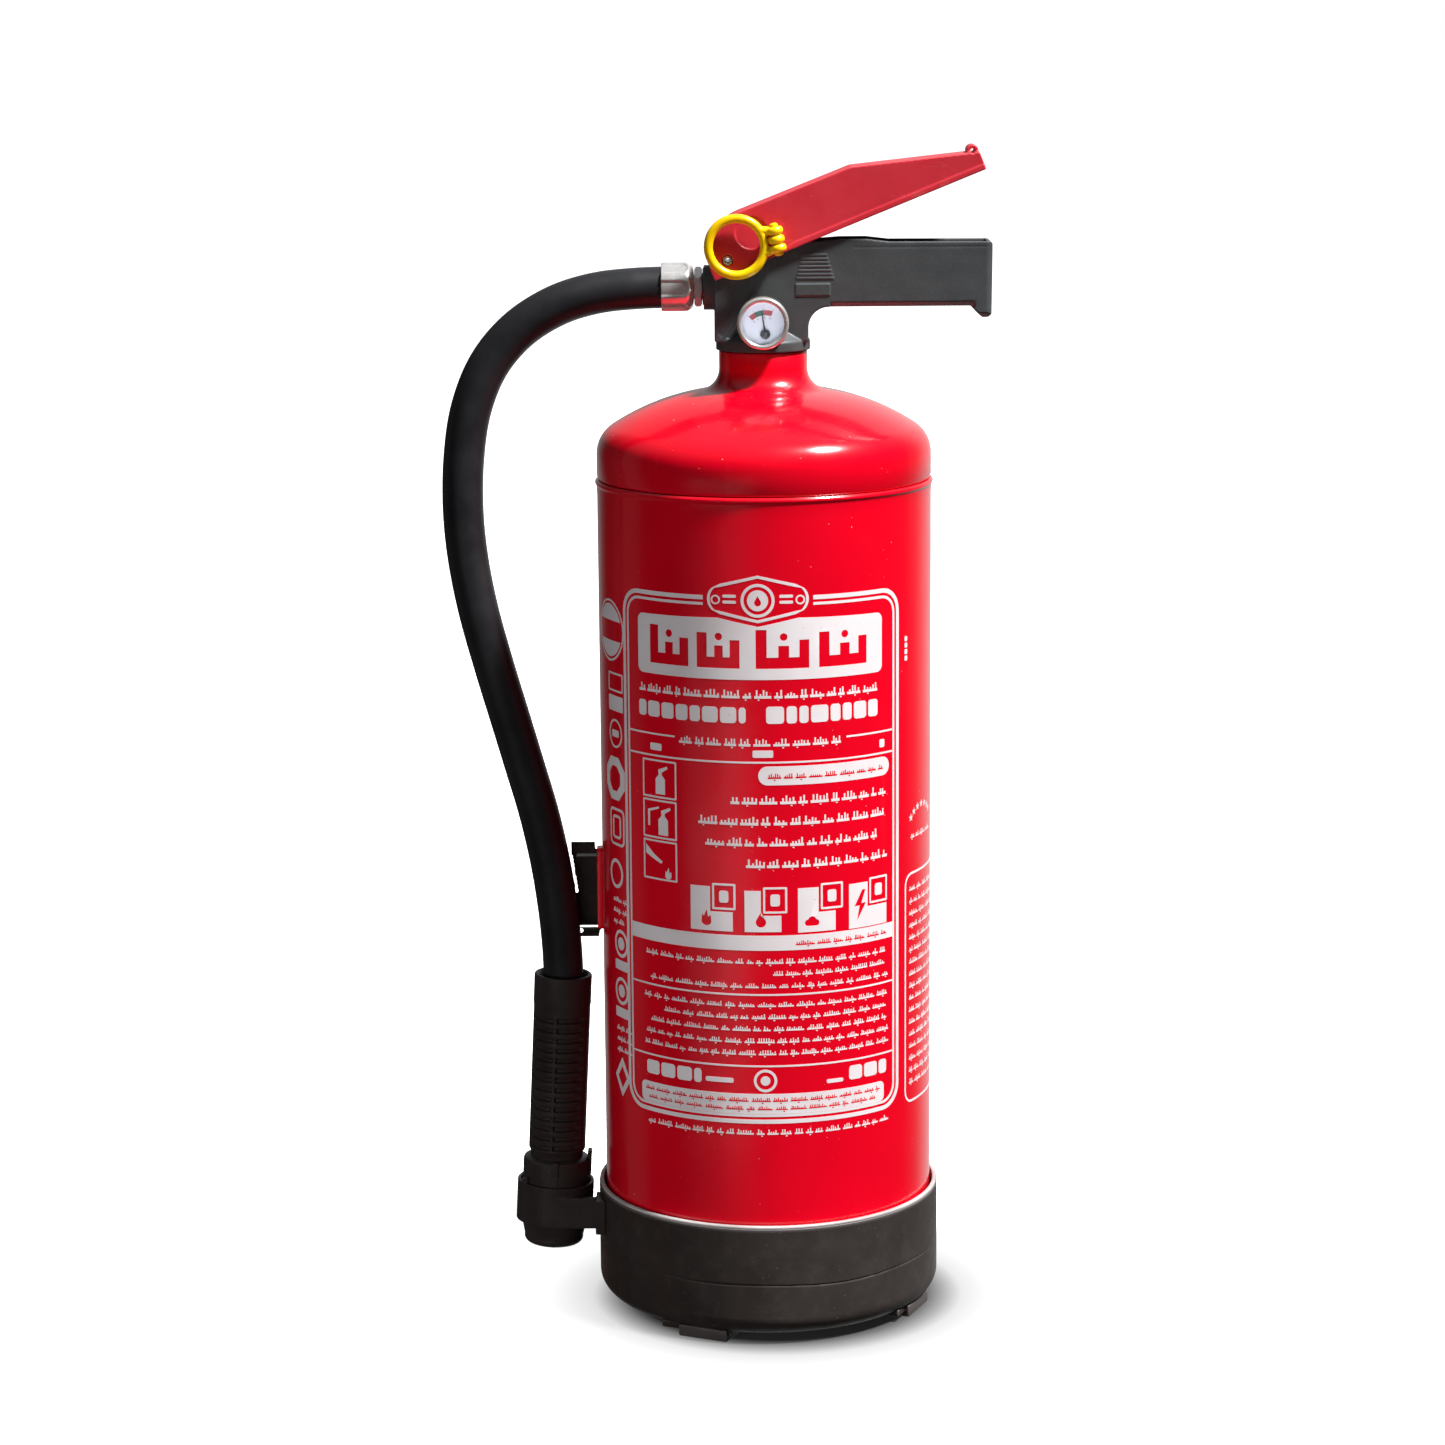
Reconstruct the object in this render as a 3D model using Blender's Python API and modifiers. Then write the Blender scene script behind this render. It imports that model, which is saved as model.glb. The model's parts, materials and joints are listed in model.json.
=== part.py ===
"""A 6 kg stored-pressure powder fire extinguisher with a squeeze-grip valve, piece by piece.

Metres, +Z up. The origin is on the floor, on the vessel's axis. The carry handle points along +X,
the hose leaves along -X, and the gauge, the safety pin and its ring face -Y. Heights below are
measured from a datum line near the boot's underside, and main() stands the whole on the floor.
"""

import math

import bmesh
import bpy
from mathutils import Matrix, Vector

OBJECT_NAME = "fire_extinguisher"
GAP = 0.0003
FULL_TURN = 2 * math.pi
SIDES = 40
SMALL_SIDES = 24
DATUM_Z = 0.0062
FAR = 0.05

# Vessel: a lower shell and a dome welded at a joggled seam near the shoulder.
VESSEL_R = 0.075
WALL = 0.0015
BOTTOM_Z = 0.0014
BOTTOM_CORNER_R = 0.014
BOTTOM_RISE = 0.0034
BOTTOM_DISH_R = 0.030
BOTTOM_DISH = 0.0024
POWDER_TOP_Z = 0.344
SEAM_Z = 0.376
BEAD = 0.0009
BEAD_HEIGHT = 0.0028
JOGGLE_DEPTH = 0.008
CROWN_R = 0.105
CROWN_CENTRE = (0.011, 0.3116)
KNUCKLE_R = 0.015
NECK_R = 0.0197
NECK_FILLET_R = 0.010
NECK_TOP_Z = 0.433

# Boot: a rubber cup under the vessel, on four feet.
BOOT_R = 0.0784
BOOT_WALL = 0.0029
BOOT_RIM_Z = 0.0497
BOOT_UNDER_Z = -0.0022
BOOT_FLOOR_Z = 0.0009
BOOT_CORNER_R = 0.007
FOOT_REACH = 0.0755
FOOT_WIDTH = 0.024
FOOT_TOP_Z = -0.0007
FOOT_TURN = math.radians(23.5)

# Valve body: a black moulding with the carry handle in one piece.
BODY_HALF_WIDTH = 0.0118
CHEEK_INSIDE = 0.0092
BODY_LEFT_X = -0.0215
BODY_RIGHT_X = 0.0202
SKIRT_R = 0.021
SKIRT_Z = NECK_TOP_Z + GAP
SKIRT_TOP_Z = 0.4375
SKIRT_CORE_R = 0.0165
SKIRT_CORE_Z = 0.441
WELL_FLOOR_Z = 0.4705
HANDLE_TOP_Z = 0.481
HANDLE_UNDER_Z = 0.4526
HANDLE_FLOOR_Z = 0.4556
HANDLE_END_X = 0.1017
HANDLE_HOOK_Z = 0.4475
HANDLE_WALL = 0.0026
UNDERARM_R = 0.009
CHEEK_TOP_Z = 0.480
PIN_HUMP_Z = 0.4868
GAUGE_BOSS_R = 0.0085
OUTLET_DEPTH = 0.0110

# Brass valve core, screwed into the neck collar.
CORE_R = 0.0085
CORE_COLLAR_R = 0.0144
CORE_COLLAR_Z = 0.4375
CORE_THREAD_R = 0.0147
CORE_GROOVE_R = 0.0138
CORE_GROOVE_Z = 0.4284
CORE_THREAD_END_Z = 0.410
CORE_NOSE_R = 0.0116
CORE_END_Z = 0.403
CORE_OUTLET_R = 0.0033
CORE_GAUGE_WAY_R = 0.0015
COLLAR_END_Z = 0.412
FLOW_R = 0.005
GUIDE_R = 0.0028
GUIDE_Z = 0.465
ORING_POCKET_Z = 0.4668
ORING_POCKET_R = 0.0052
NUT_HEIGHT = 0.0030
NUT_R = 0.0075
NECK_SEAL = (0.0160, 0.0018, 0.4306)
STEM_ORING = (0.0039, 0.00095, 0.4680)
SEAT_R = 0.0039
SEAT_TOP_Z = 0.418
SEAT_Z = 0.415
POPPET_CHAMBER_R = 0.0085
ADAPTER_R = 0.0135
ADAPTER_FLOOR_Z = 0.392
ADAPTER_END_Z = 0.380
ADAPTER_STEP_Z = 0.390
ADAPTER_STEP_R = 0.0105
ADAPTER_WAY_R = 0.0040
SPRING_CHAMBER_R = 0.0072
TUBE_R = 0.008
TUBE_WALL = 0.0014
TUBE_END_Z = 0.0138
TUBE_NOTCH = 0.006

# Stem, which the lever presses down against its spring.
STEM_R = 0.0025
STEM_TOP_Z = 0.481
POPPET_R = 0.0075
POPPET_TOP_Z = 0.412
POPPET_Z = 0.4096
STEM_SEAL_R = 0.0073
SPRING_R = 0.005
SPRING_WIRE_R = 0.0007
SPRING_TURNS = 5

# Lever: an inverted channel that straddles the handle, hinged at its rear end.
PIVOT = Vector((-0.0154, 0, 0.4735))
PIVOT_PIN_R = 0.0022
LEVER_TILT = math.radians(21.9)
LEVER_HALF_WIDTH = 0.0145
LEVER_WALL = 0.0023
LEVER_UNDER = -0.0061
LEVER_TOP = 0.0177
LEVER_REAR_R = 0.0202
LEVER_REAR_CENTRE = 0.0115
LEVER_KINK = (0.0655, 0.0173)
LEVER_TAPER_END = (0.1140, 0.0036)
LEVER_TIP = 0.1203
LEVER_TIP_TOP = 0.0018
LEVER_INSIDE_END = 0.1174
LEVER_REAR_OPENING_Z = 0.0098
TIP_KNOB = (0.1178, 0.0032)
TIP_KNOB_R = 0.0027
TIP_KNOB_HALF = 0.007
PAD_Z = STEM_TOP_Z + GAP
PAD_HALF = (0.0045, 0.006)
PAD_HEIGHT = 0.0100
PAD_RIB_X = (0.0115, 0.0245)
PAD_RIB_Z = (0.0100, 0.0165)

# Safety pin through the lever, with the ring hinged on its head.
PIN = Vector((0.0061, 0, 0.483))
PIN_R = 0.0019
PIN_BACK_Y = 0.0166
PIN_SWEEP = math.radians(11)
RING_Y = -0.0188
RING_CENTRE = Vector((-0.0114, RING_Y, 0.4798))
RING_R = 0.0124
RING_TUBE_R = 0.00205
BARREL_TILT = math.radians(-11.4)
BARREL_R = 0.0038
LOBE_HEIGHT = 0.0036
RING_ARM_R = 0.0017
RING_ARM_SPREAD = 0.0022
HINGE_PIN_R = 0.0014
HINGE_PIN_LENGTH = 0.0146

# Pressure gauge on the front of the valve body; its depths are distances in front of the axis.
GAUGE_Z = 0.4467
BEZEL_R = 0.0115
CASE_R = 0.0106
DIAL_R = 0.0096
BOSS_DEPTH = 0.0165
CASE_BACK = 0.0176
DIAL_DEPTH = 0.0240
LENS_DEPTH = 0.0262
BEZEL_DEPTH = 0.0276
GAUGE_STEM_R = 0.0042
GAUGE_STEM_END = 0.0092
GAUGE_SEAL_R = 0.0068
BEZEL_BACK = 0.0204
BOURDON_R = 0.0078
BOURDON_TUBE_R = 0.0011
NEEDLE_TURN = math.radians(8.5)
HUB_DROP = 0.0049
NEEDLE_LENGTH = 0.0098
GAUGE_TURN = math.radians(12)

# Hose end fitting on the outlet.
OUTLET_Z = 0.4612
OUTLET_BOSS_R = 0.0103
OUTLET_FACE = 0.0255
HEX_START = 0.0270
HEX_END = 0.0304
HEX_R = 0.0089
FITTING_THREAD_R = 0.006
FITTING_BORE_R = 0.0035
FITTING_END = 0.0114
FITTING_TAIL_R = 0.0055
FITTING_SEAL_R = 0.0082
FERRULE_MOUTH_R = 0.0058
FERRULE_START = 0.0307
FERRULE_END = 0.0451
FERRULE_R = 0.0108

# Hose: its centreline from the ferrule, over and down to the nozzle, in the plane of the handle.
HOSE_R = 0.00925
HOSE_ROUTE = (
    (-0.0320, 0.4612),
    (-0.0560, 0.4606),
    (-0.0755, 0.4584),
    (-0.0932, 0.4527),
    (-0.1099, 0.4420),
    (-0.1228, 0.4268),
    (-0.1309, 0.4076),
    (-0.1346, 0.3862),
    (-0.1355, 0.3625),
    (-0.1337, 0.3395),
    (-0.1294, 0.3155),
    (-0.1229, 0.2903),
    (-0.1161, 0.2663),
    (-0.1099, 0.2443),
    (-0.1039, 0.2226),
    (-0.0991, 0.2001),
    (-0.0960, 0.1790),
    (-0.0944, 0.1620),
    (-0.0938, 0.1465),
    (-0.0945, 0.1320),
)
HOSE_POINTS = 31

# Nozzle, tilted a little outwards towards its tip, along its own axis from its rim down.
NOZZLE_TOP = Vector((-0.0938, 0, 0.1465))
NOZZLE_TIP = Vector((-0.1003, 0, 0.0178))
COLLAR_R = 0.0133
COLLAR_LENGTH = 0.0142
GRIP_R = 0.0131
GRIP_LENGTH = 0.0880
HOSE_SOCKET_DEPTH = 0.0165
NOZZLE_BORE_R = 0.0072
SPIGOT_R = 0.0108
SPIGOT_LENGTH = 0.010
CUP_R = 0.0154
CUP_END_R = 0.0135

# Nozzle holder on the boot and hose clip on the vessel.
HOLDER_Z = (0.0290, 0.0480)
HOLDER_ARM_Z = (0.0290, 0.0436)
HOLDER_R = 0.0178
HOLDER_CLEAR_R = 0.0162
HOLDER_ARM_X = (-0.0995, -0.0735)
HOLDER_ARM_THICK = 0.0030
HOLDER_FLANGE_X = (-0.0795, -0.0700)
HOLDER_FLANGE_Y = (-0.0245, -0.0085)
CLIP_AT = Vector((-0.0977, 0, 0.1902))
CLIP_TILT = math.radians(8.4)
CLIP_CLEAR_R = 0.0097
CLIP_R = 0.0123
CLIP_HALF_HEIGHT = 0.0088
CLIP_MOUTH = (112, 257)
CLIP_FRONT_BLOCK = ((-0.0872, -0.0118, 0.1665), (-0.0757, 0.0075, 0.2040))
CLIP_BACK_BLOCK = ((-0.0905, -0.0050, 0.1690), (-0.0778, 0.0075, 0.2075))
LUG_LOW = Vector((-0.0775, -0.0035, 0.1680))
LUG_HIGH = Vector((-0.0700, 0.0035, 0.2060))


def new_collection(name):
    group = bpy.data.collections.new(name)
    bpy.context.scene.collection.children.link(group)
    return group


def clear_scene():
    for obj in list(bpy.data.objects):
        bpy.data.objects.remove(obj, do_unlink=True)


def material(name, colour, roughness, metallic=0.0, alpha=1.0):
    made = bpy.data.materials.new(name)
    made.use_nodes = True
    shader = made.node_tree.nodes["Principled BSDF"]
    shader.inputs["Base Color"].default_value = (*colour, 1.0)
    shader.inputs["Roughness"].default_value = roughness
    shader.inputs["Metallic"].default_value = metallic
    shader.inputs["Alpha"].default_value = alpha
    return made


clear_scene()
PARTS = new_collection(OBJECT_NAME)
CUTTERS = new_collection("cutters")

RED_PAINT = material("red_paint", (0.75, 0.0, 0.012), 0.22)
RED_PLASTIC = material("red_plastic", (0.62, 0.03, 0.05), 0.45)
BLACK_CASTING = material("black_casting", (0.045, 0.055, 0.055), 0.5)
BLACK_RUBBER = material("black_rubber", (0.012, 0.012, 0.013), 0.5)
BROWN_BLACK = material("warm_black_rubber", (0.03, 0.022, 0.02), 0.55)
YELLOW_PLASTIC = material("yellow_plastic", (0.9, 0.6, 0.0), 0.35)
BRASS = material("brass", (0.7, 0.5, 0.22), 0.3, 1.0)
CHROME = material("chrome", (0.8, 0.8, 0.82), 0.12, 1.0)
STEEL = material("steel", (0.5, 0.5, 0.52), 0.3, 1.0)
WHITE_DIAL = material("white_dial", (0.8, 0.82, 0.85), 0.4)
CLEAR = material("clear_lens", (0.95, 0.95, 0.95), 0.05, alpha=0.3)
SEAL_RUBBER = material("seal_rubber", (0.02, 0.02, 0.02), 0.6)
GREY_PLASTIC = material("grey_plastic", (0.3, 0.3, 0.3), 0.5)
POWDER = material("powder", (0.85, 0.82, 0.7), 0.9)


def shade(mesh):
    mesh.shade_smooth()
    mesh.set_sharp_from_angle(angle=math.radians(35))


def add(name, mesh, look):
    """A part, or with no look a cutter, holding this mesh."""
    obj = bpy.data.objects.new(name, mesh)
    if look is None:
        CUTTERS.objects.link(obj)
        obj.hide_render = True
        obj.display_type = "WIRE"
        return obj
    mesh.materials.append(look)
    PARTS.objects.link(obj)
    return obj


def arc(centre, radius, start, end, steps=8):
    """Points on an arc, between two angles in degrees."""
    turns = [math.radians(start + (end - start) * i / steps) for i in range(steps + 1)]
    return [(centre[0] + radius * math.cos(t), centre[1] + radius * math.sin(t)) for t in turns]


def turned(name, profile, look, sides=SIDES, ring=True):
    """A turned solid. Its (radius, height) profile runs down the outer side; a ring's is closed."""
    mesh = bpy.data.meshes.new(name)
    edges = [(i, i + 1) for i in range(len(profile) - 1)]
    if ring:
        edges.append((len(profile) - 1, 0))
    mesh.from_pydata([(radius, 0, height) for radius, height in profile], edges, [])
    obj = add(name, mesh, look)
    screw = obj.modifiers.new("turn", "SCREW")
    screw.axis = "Z"
    screw.angle = FULL_TURN
    screw.steps = sides
    screw.render_steps = sides
    screw.use_merge_vertices = True
    screw.merge_threshold = 0.00001
    screw.use_smooth_shade = True
    return obj


def disc(name, radius, low, high, look, sides=SMALL_SIDES):
    return turned(name, [(0, high), (radius, high), (radius, low), (0, low)], look, sides, ring=False)


def washer(name, outer, inner, low, high, look, sides=SMALL_SIDES):
    return turned(name, [(inner, high), (outer, high), (outer, low), (inner, low)], look, sides)


def oring(name, radius, thickness, z, look, sides=SMALL_SIDES, around=10):
    turns = [FULL_TURN * i / around for i in range(around)]
    section = [(radius + thickness * math.sin(t), z + thickness * math.cos(t)) for t in turns]
    return turned(name, section, look, sides)


def place(obj, position, aim=Vector((0, 0, 1))):
    """Puts an object's own origin at this position, with its own +Z along aim."""
    turn = Vector((0, 0, 1)).rotation_difference(aim).to_matrix().to_4x4()
    obj.matrix_world = Matrix.Translation(position) @ turn
    return obj


def block(name, low, high, look=None, bevel=0.0):
    mesh = bpy.data.meshes.new(name)
    shape = bmesh.new()
    bmesh.ops.create_cube(shape, size=1.0)
    low, high = Vector(low), Vector(high)
    bmesh.ops.scale(shape, vec=high - low, verts=shape.verts)
    bmesh.ops.translate(shape, vec=(low + high) / 2, verts=shape.verts)
    shape.to_mesh(mesh)
    shape.free()
    obj = add(name, mesh, look)
    if bevel:
        soften(obj, bevel)
    return obj


def rod(name, start, end, radius, look=None, sides=SMALL_SIDES):
    """A round bar from start to end."""
    start, end = Vector(start), Vector(end)
    mesh = bpy.data.meshes.new(name)
    shape = bmesh.new()
    bmesh.ops.create_cone(
        shape, cap_ends=True, segments=sides, radius1=radius, radius2=radius, depth=(end - start).length
    )
    shape.to_mesh(mesh)
    shape.free()
    return place(add(name, mesh, look), (start + end) / 2, (end - start).normalized())


def across(name, middle, half_width, radius):
    """A round bar across Y, half_width to either side of the middle."""
    reach = Vector((0, half_width, 0))
    return rod(name, middle - reach, middle + reach, radius)


def outline(name, points, half_width, look=None):
    """A flat shape given by (x, z) points, as thick as twice half_width across Y."""
    curve = bpy.data.curves.new(name + "_outline", "CURVE")
    curve.dimensions = "2D"
    curve.fill_mode = "BOTH"
    curve.extrude = half_width
    spline = curve.splines.new("POLY")
    spline.points.add(len(points) - 1)
    for spot, (x, z) in zip(spline.points, points):
        spot.co = (x, z, 0, 1)
    spline.use_cyclic_u = True
    drawn = bpy.data.objects.new(name + "_outline", curve)
    CUTTERS.objects.link(drawn)
    drawn.rotation_euler = (math.pi / 2, 0, 0)
    bpy.context.view_layer.update()
    mesh = bpy.data.meshes.new_from_object(drawn.evaluated_get(bpy.context.evaluated_depsgraph_get()))
    mesh.name = name
    upright = drawn.matrix_world.copy()
    bpy.data.objects.remove(drawn)
    shape = bmesh.new()
    shape.from_mesh(mesh)
    bmesh.ops.remove_doubles(shape, verts=shape.verts, dist=0.000001)
    bmesh.ops.recalc_face_normals(shape, faces=shape.faces)
    shape.to_mesh(mesh)
    shape.free()
    obj = add(name, mesh, look)
    obj.matrix_world = upright
    return obj


def combine(obj, other, operation):
    step = obj.modifiers.new(other.name, "BOOLEAN")
    step.operation = operation
    step.object = other
    return obj


def cut(obj, *cutters):
    for cutter in cutters:
        combine(obj, cutter, "DIFFERENCE")
    return obj


def join(obj, *others):
    for other in others:
        combine(obj, other, "UNION")
    return obj


def soften(obj, width, segments=1, angle=40):
    bevel = obj.modifiers.new("soften", "BEVEL")
    bevel.width = width
    bevel.segments = segments
    bevel.limit_method = "ANGLE"
    bevel.angle_limit = math.radians(angle)
    return obj


def joint_axis(name, position, *pieces):
    """An empty on a joint's axis, which carries the pieces that move with it."""
    axis = bpy.data.objects.new(name, None)
    axis.empty_display_size = 0.01
    PARTS.objects.link(axis)
    axis.location = position
    bpy.context.view_layer.update()
    for piece in pieces:
        piece.parent = axis
        piece.matrix_parent_inverse = axis.matrix_world.inverted()
    return axis


# ---------------------------------------------------------------- vessel and boot


def vessel_shell():
    corner = (VESSEL_R - BOTTOM_CORNER_R, BOTTOM_Z + BOTTOM_CORNER_R)
    inside = [(0, BOTTOM_Z + BOTTOM_RISE + WALL), (BOTTOM_DISH_R, BOTTOM_Z + BOTTOM_DISH + WALL)]
    inside += arc(corner, BOTTOM_CORNER_R - WALL, -90, 0, 5)
    inside += [(VESSEL_R - WALL, SEAM_Z)]
    bead_low = SEAM_Z - BEAD_HEIGHT
    rim = [(VESSEL_R + 0.6 * BEAD, SEAM_Z), (VESSEL_R + BEAD, SEAM_Z - BEAD_HEIGHT / 2)]
    rim.append((VESSEL_R, bead_low))
    outside = arc(corner, BOTTOM_CORNER_R, 0, -90, 5)
    outside += [(BOTTOM_DISH_R, BOTTOM_Z + BOTTOM_DISH), (0, BOTTOM_Z + BOTTOM_RISE)]
    return turned("vessel_shell", inside + rim + outside, RED_PAINT, ring=False)


def dome_profile(inset, steps):
    """The shoulder from the neck down to the straight wall, moved inwards by inset."""
    knuckle_x = VESSEL_R - KNUCKLE_R
    reach = CROWN_R - KNUCKLE_R
    knuckle_z = CROWN_CENTRE[1] + math.sqrt(reach**2 - (knuckle_x - CROWN_CENTRE[0]) ** 2)
    crown_to_knuckle = math.degrees(math.atan2(knuckle_z - CROWN_CENTRE[1], knuckle_x - CROWN_CENTRE[0]))
    fillet_x = NECK_R + NECK_FILLET_R
    span = CROWN_R + NECK_FILLET_R
    fillet_z = CROWN_CENTRE[1] + math.sqrt(span**2 - (fillet_x - CROWN_CENTRE[0]) ** 2)
    crown_to_fillet = math.degrees(math.atan2(fillet_z - CROWN_CENTRE[1], fillet_x - CROWN_CENTRE[0]))
    points = arc((fillet_x, fillet_z), NECK_FILLET_R + inset, 180, 180 + crown_to_fillet, steps)
    points += arc(CROWN_CENTRE, CROWN_R - inset, crown_to_fillet, crown_to_knuckle, steps)[1:]
    points += arc((knuckle_x, knuckle_z), KNUCKLE_R - inset, crown_to_knuckle, 0, steps)[1:]
    return points


def vessel_dome():
    step_z = SEAM_Z + GAP
    skirt_r = VESSEL_R - WALL - GAP
    skirt_z = SEAM_Z - JOGGLE_DEPTH
    outside = [(NECK_R, NECK_TOP_Z)] + dome_profile(0, 3)
    outside += [(VESSEL_R, step_z), (skirt_r, step_z), (skirt_r, skirt_z)]
    inside = [(skirt_r - WALL, skirt_z), (skirt_r - WALL, step_z + WALL)]
    inside.append((VESSEL_R - WALL, step_z + 2 * WALL))
    inside += dome_profile(WALL, 2)[::-1] + [(NECK_R - WALL, NECK_TOP_Z)]
    return turned("vessel_dome", outside + inside, RED_PAINT)


def neck_collar():
    """The threaded steel ring inside the neck."""
    top = CORE_GROOVE_Z - 0.0001
    return washer("neck_collar", NECK_R - WALL - GAP, CORE_THREAD_R + GAP, COLLAR_END_Z, top, STEEL)


def base_boot():
    inner = BOOT_R - BOOT_WALL
    seat = (VESSEL_R - BOTTOM_CORNER_R, BOTTOM_Z + BOTTOM_CORNER_R)
    corner = (BOOT_R - BOOT_CORNER_R, BOOT_UNDER_Z + BOOT_CORNER_R)
    profile = [(0, BOOT_FLOOR_Z)]
    profile += arc(seat, inner - seat[0], -90, 0, 5)
    profile += [(inner, BOOT_RIM_Z - 0.006), (inner + 0.0006, BOOT_RIM_Z)]
    profile += [(BOOT_R - 0.0005, BOOT_RIM_Z), (BOOT_R, BOOT_RIM_Z - 0.0006)]
    profile += arc(corner, BOOT_CORNER_R, 0, -90, 4)
    profile += [(0, BOOT_UNDER_Z)]
    boot = turned("base_boot", profile, BROWN_BLACK, ring=False)
    for index in range(2):
        near = (-FOOT_WIDTH / 2, -FOOT_REACH, -DATUM_Z)
        far = (FOOT_WIDTH / 2, FOOT_REACH, FOOT_TOP_Z)
        bar = block(f"foot_bar_{index}", near, far)
        bar.rotation_euler = (0, 0, -FOOT_TURN + index * math.pi / 2)
        join(boot, bar)
    return boot


def powder_charge():
    """The settled powder, which fills the shell around the dip tube."""
    side = VESSEL_R - WALL - GAP
    hole = TUBE_R + GAP
    corner = (VESSEL_R - BOTTOM_CORNER_R, BOTTOM_Z + BOTTOM_CORNER_R)
    floor_z = BOTTOM_Z + WALL + GAP
    profile = [(hole, POWDER_TOP_Z), (side, POWDER_TOP_Z)]
    profile += arc(corner, side - corner[0], 0, -90, 5)
    profile += [(BOTTOM_DISH_R, floor_z + BOTTOM_DISH), (hole, floor_z + BOTTOM_RISE)]
    return turned("powder_charge", profile, POWDER)


# ---------------------------------------------------------------- valve


def body_outline():
    """The side view of the moulding: block, outlet side, cheeks, handle and its hooked end."""
    underarm = (BODY_RIGHT_X + UNDERARM_R, HANDLE_UNDER_Z - UNDERARM_R)
    points = [(BODY_LEFT_X, SKIRT_TOP_Z), (BODY_LEFT_X, 0.4745), (-0.0198, 0.4786), (-0.0158, CHEEK_TOP_Z)]
    points += [(0.0030, CHEEK_TOP_Z), (0.0040, PIN_HUMP_Z), (0.0105, PIN_HUMP_Z), (0.0135, HANDLE_TOP_Z)]
    points += [(HANDLE_END_X, HANDLE_TOP_Z), (HANDLE_END_X - 0.0004, HANDLE_HOOK_Z + 0.0014)]
    points += [(HANDLE_END_X - 0.0020, HANDLE_HOOK_Z), (HANDLE_END_X - 0.0046, HANDLE_HOOK_Z)]
    points += [(HANDLE_END_X - 0.0068, HANDLE_HOOK_Z + 0.0020), (HANDLE_END_X - 0.0098, HANDLE_UNDER_Z)]
    points += arc(underarm, UNDERARM_R, 90, 180, 5) + [(BODY_RIGHT_X, SKIRT_TOP_Z)]
    return points


def pin_slot():
    """A curved slot through the cheeks for the safety pin as the lever turns, hidden by the lever."""
    arm = PIN - PIVOT
    reach = math.hypot(arm.x, arm.z)
    rest = math.degrees(math.atan2(arm.z, arm.x))
    swept = math.degrees(PIN_SWEEP)
    half = PIN_R + 0.0005
    centre = (PIVOT.x, PIVOT.z)
    outer = arc(centre, reach + half, rest, rest - swept, 5)
    inner = arc(centre, reach - half, rest - swept, rest, 5)
    last, first = arc(centre, reach, rest - swept, rest, 1)
    low = arc(last, half, rest - swept, rest - swept - 180, 5)[1:-1]
    high = arc(first, half, rest + 180, rest, 5)[1:-1]
    return outline("pin_slot", outer + low + inner + high, 0.03)


def valve_body():
    body = outline("valve_body", body_outline(), BODY_HALF_WIDTH, BLACK_CASTING)
    skirt = [(0, SKIRT_CORE_Z), (SKIRT_CORE_R, SKIRT_CORE_Z), (SKIRT_R, SKIRT_TOP_Z)]
    skirt += [(SKIRT_R, SKIRT_Z), (0, SKIRT_Z)]
    outlet = Vector((0, 0, OUTLET_Z))
    gauge = Vector((0, 0, GAUGE_Z))
    out = Vector((-1, 0, 0))
    front = Vector((0, -1, 0))
    join(body, turned("body_skirt", skirt, None, ring=False))
    join(body, rod("outlet_boss", outlet, outlet + out * OUTLET_FACE, OUTLET_BOSS_R))
    join(body, rod("gauge_boss", gauge, gauge + front * BOSS_DEPTH, GAUGE_BOSS_R))
    channel_low = (0.012, -CHEEK_INSIDE, HANDLE_FLOOR_Z)
    channel_high = (HANDLE_END_X - HANDLE_WALL, CHEEK_INSIDE, HANDLE_TOP_Z + FAR)
    cut(body, block("handle_channel", channel_low, channel_high))
    well_high = (0.013, CHEEK_INSIDE, HANDLE_TOP_Z + FAR)
    cut(body, block("lever_well", (-FAR, -CHEEK_INSIDE, WELL_FLOOR_Z), well_high))
    cut(body, rod("core_bore", (0, 0, NECK_TOP_Z - FAR), (0, 0, HANDLE_TOP_Z), CORE_R + GAP))
    pocket_top = (0, 0, CORE_COLLAR_Z + GAP)
    cut(body, rod("core_pocket", (0, 0, NECK_TOP_Z - FAR), pocket_top, CORE_COLLAR_R + GAP))
    outlet_bottom = outlet + out * OUTLET_DEPTH
    cut(body, rod("outlet_bore", outlet + out * FAR, outlet_bottom, FITTING_THREAD_R + GAP))
    cut(body, rod("outlet_way", outlet + out * FAR, outlet, FITTING_BORE_R))
    recess_bottom = gauge + front * BOSS_DEPTH
    cut(body, rod("gauge_recess", gauge + front * FAR, recess_bottom, BEZEL_R + 0.0004, sides=32))
    cut(body, rod("gauge_bore", gauge + front * FAR, gauge, GAUGE_STEM_R + GAP))
    cut(body, across("pivot_bore", PIVOT, FAR, PIVOT_PIN_R + 0.0002))
    return cut(body, pin_slot())


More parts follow.
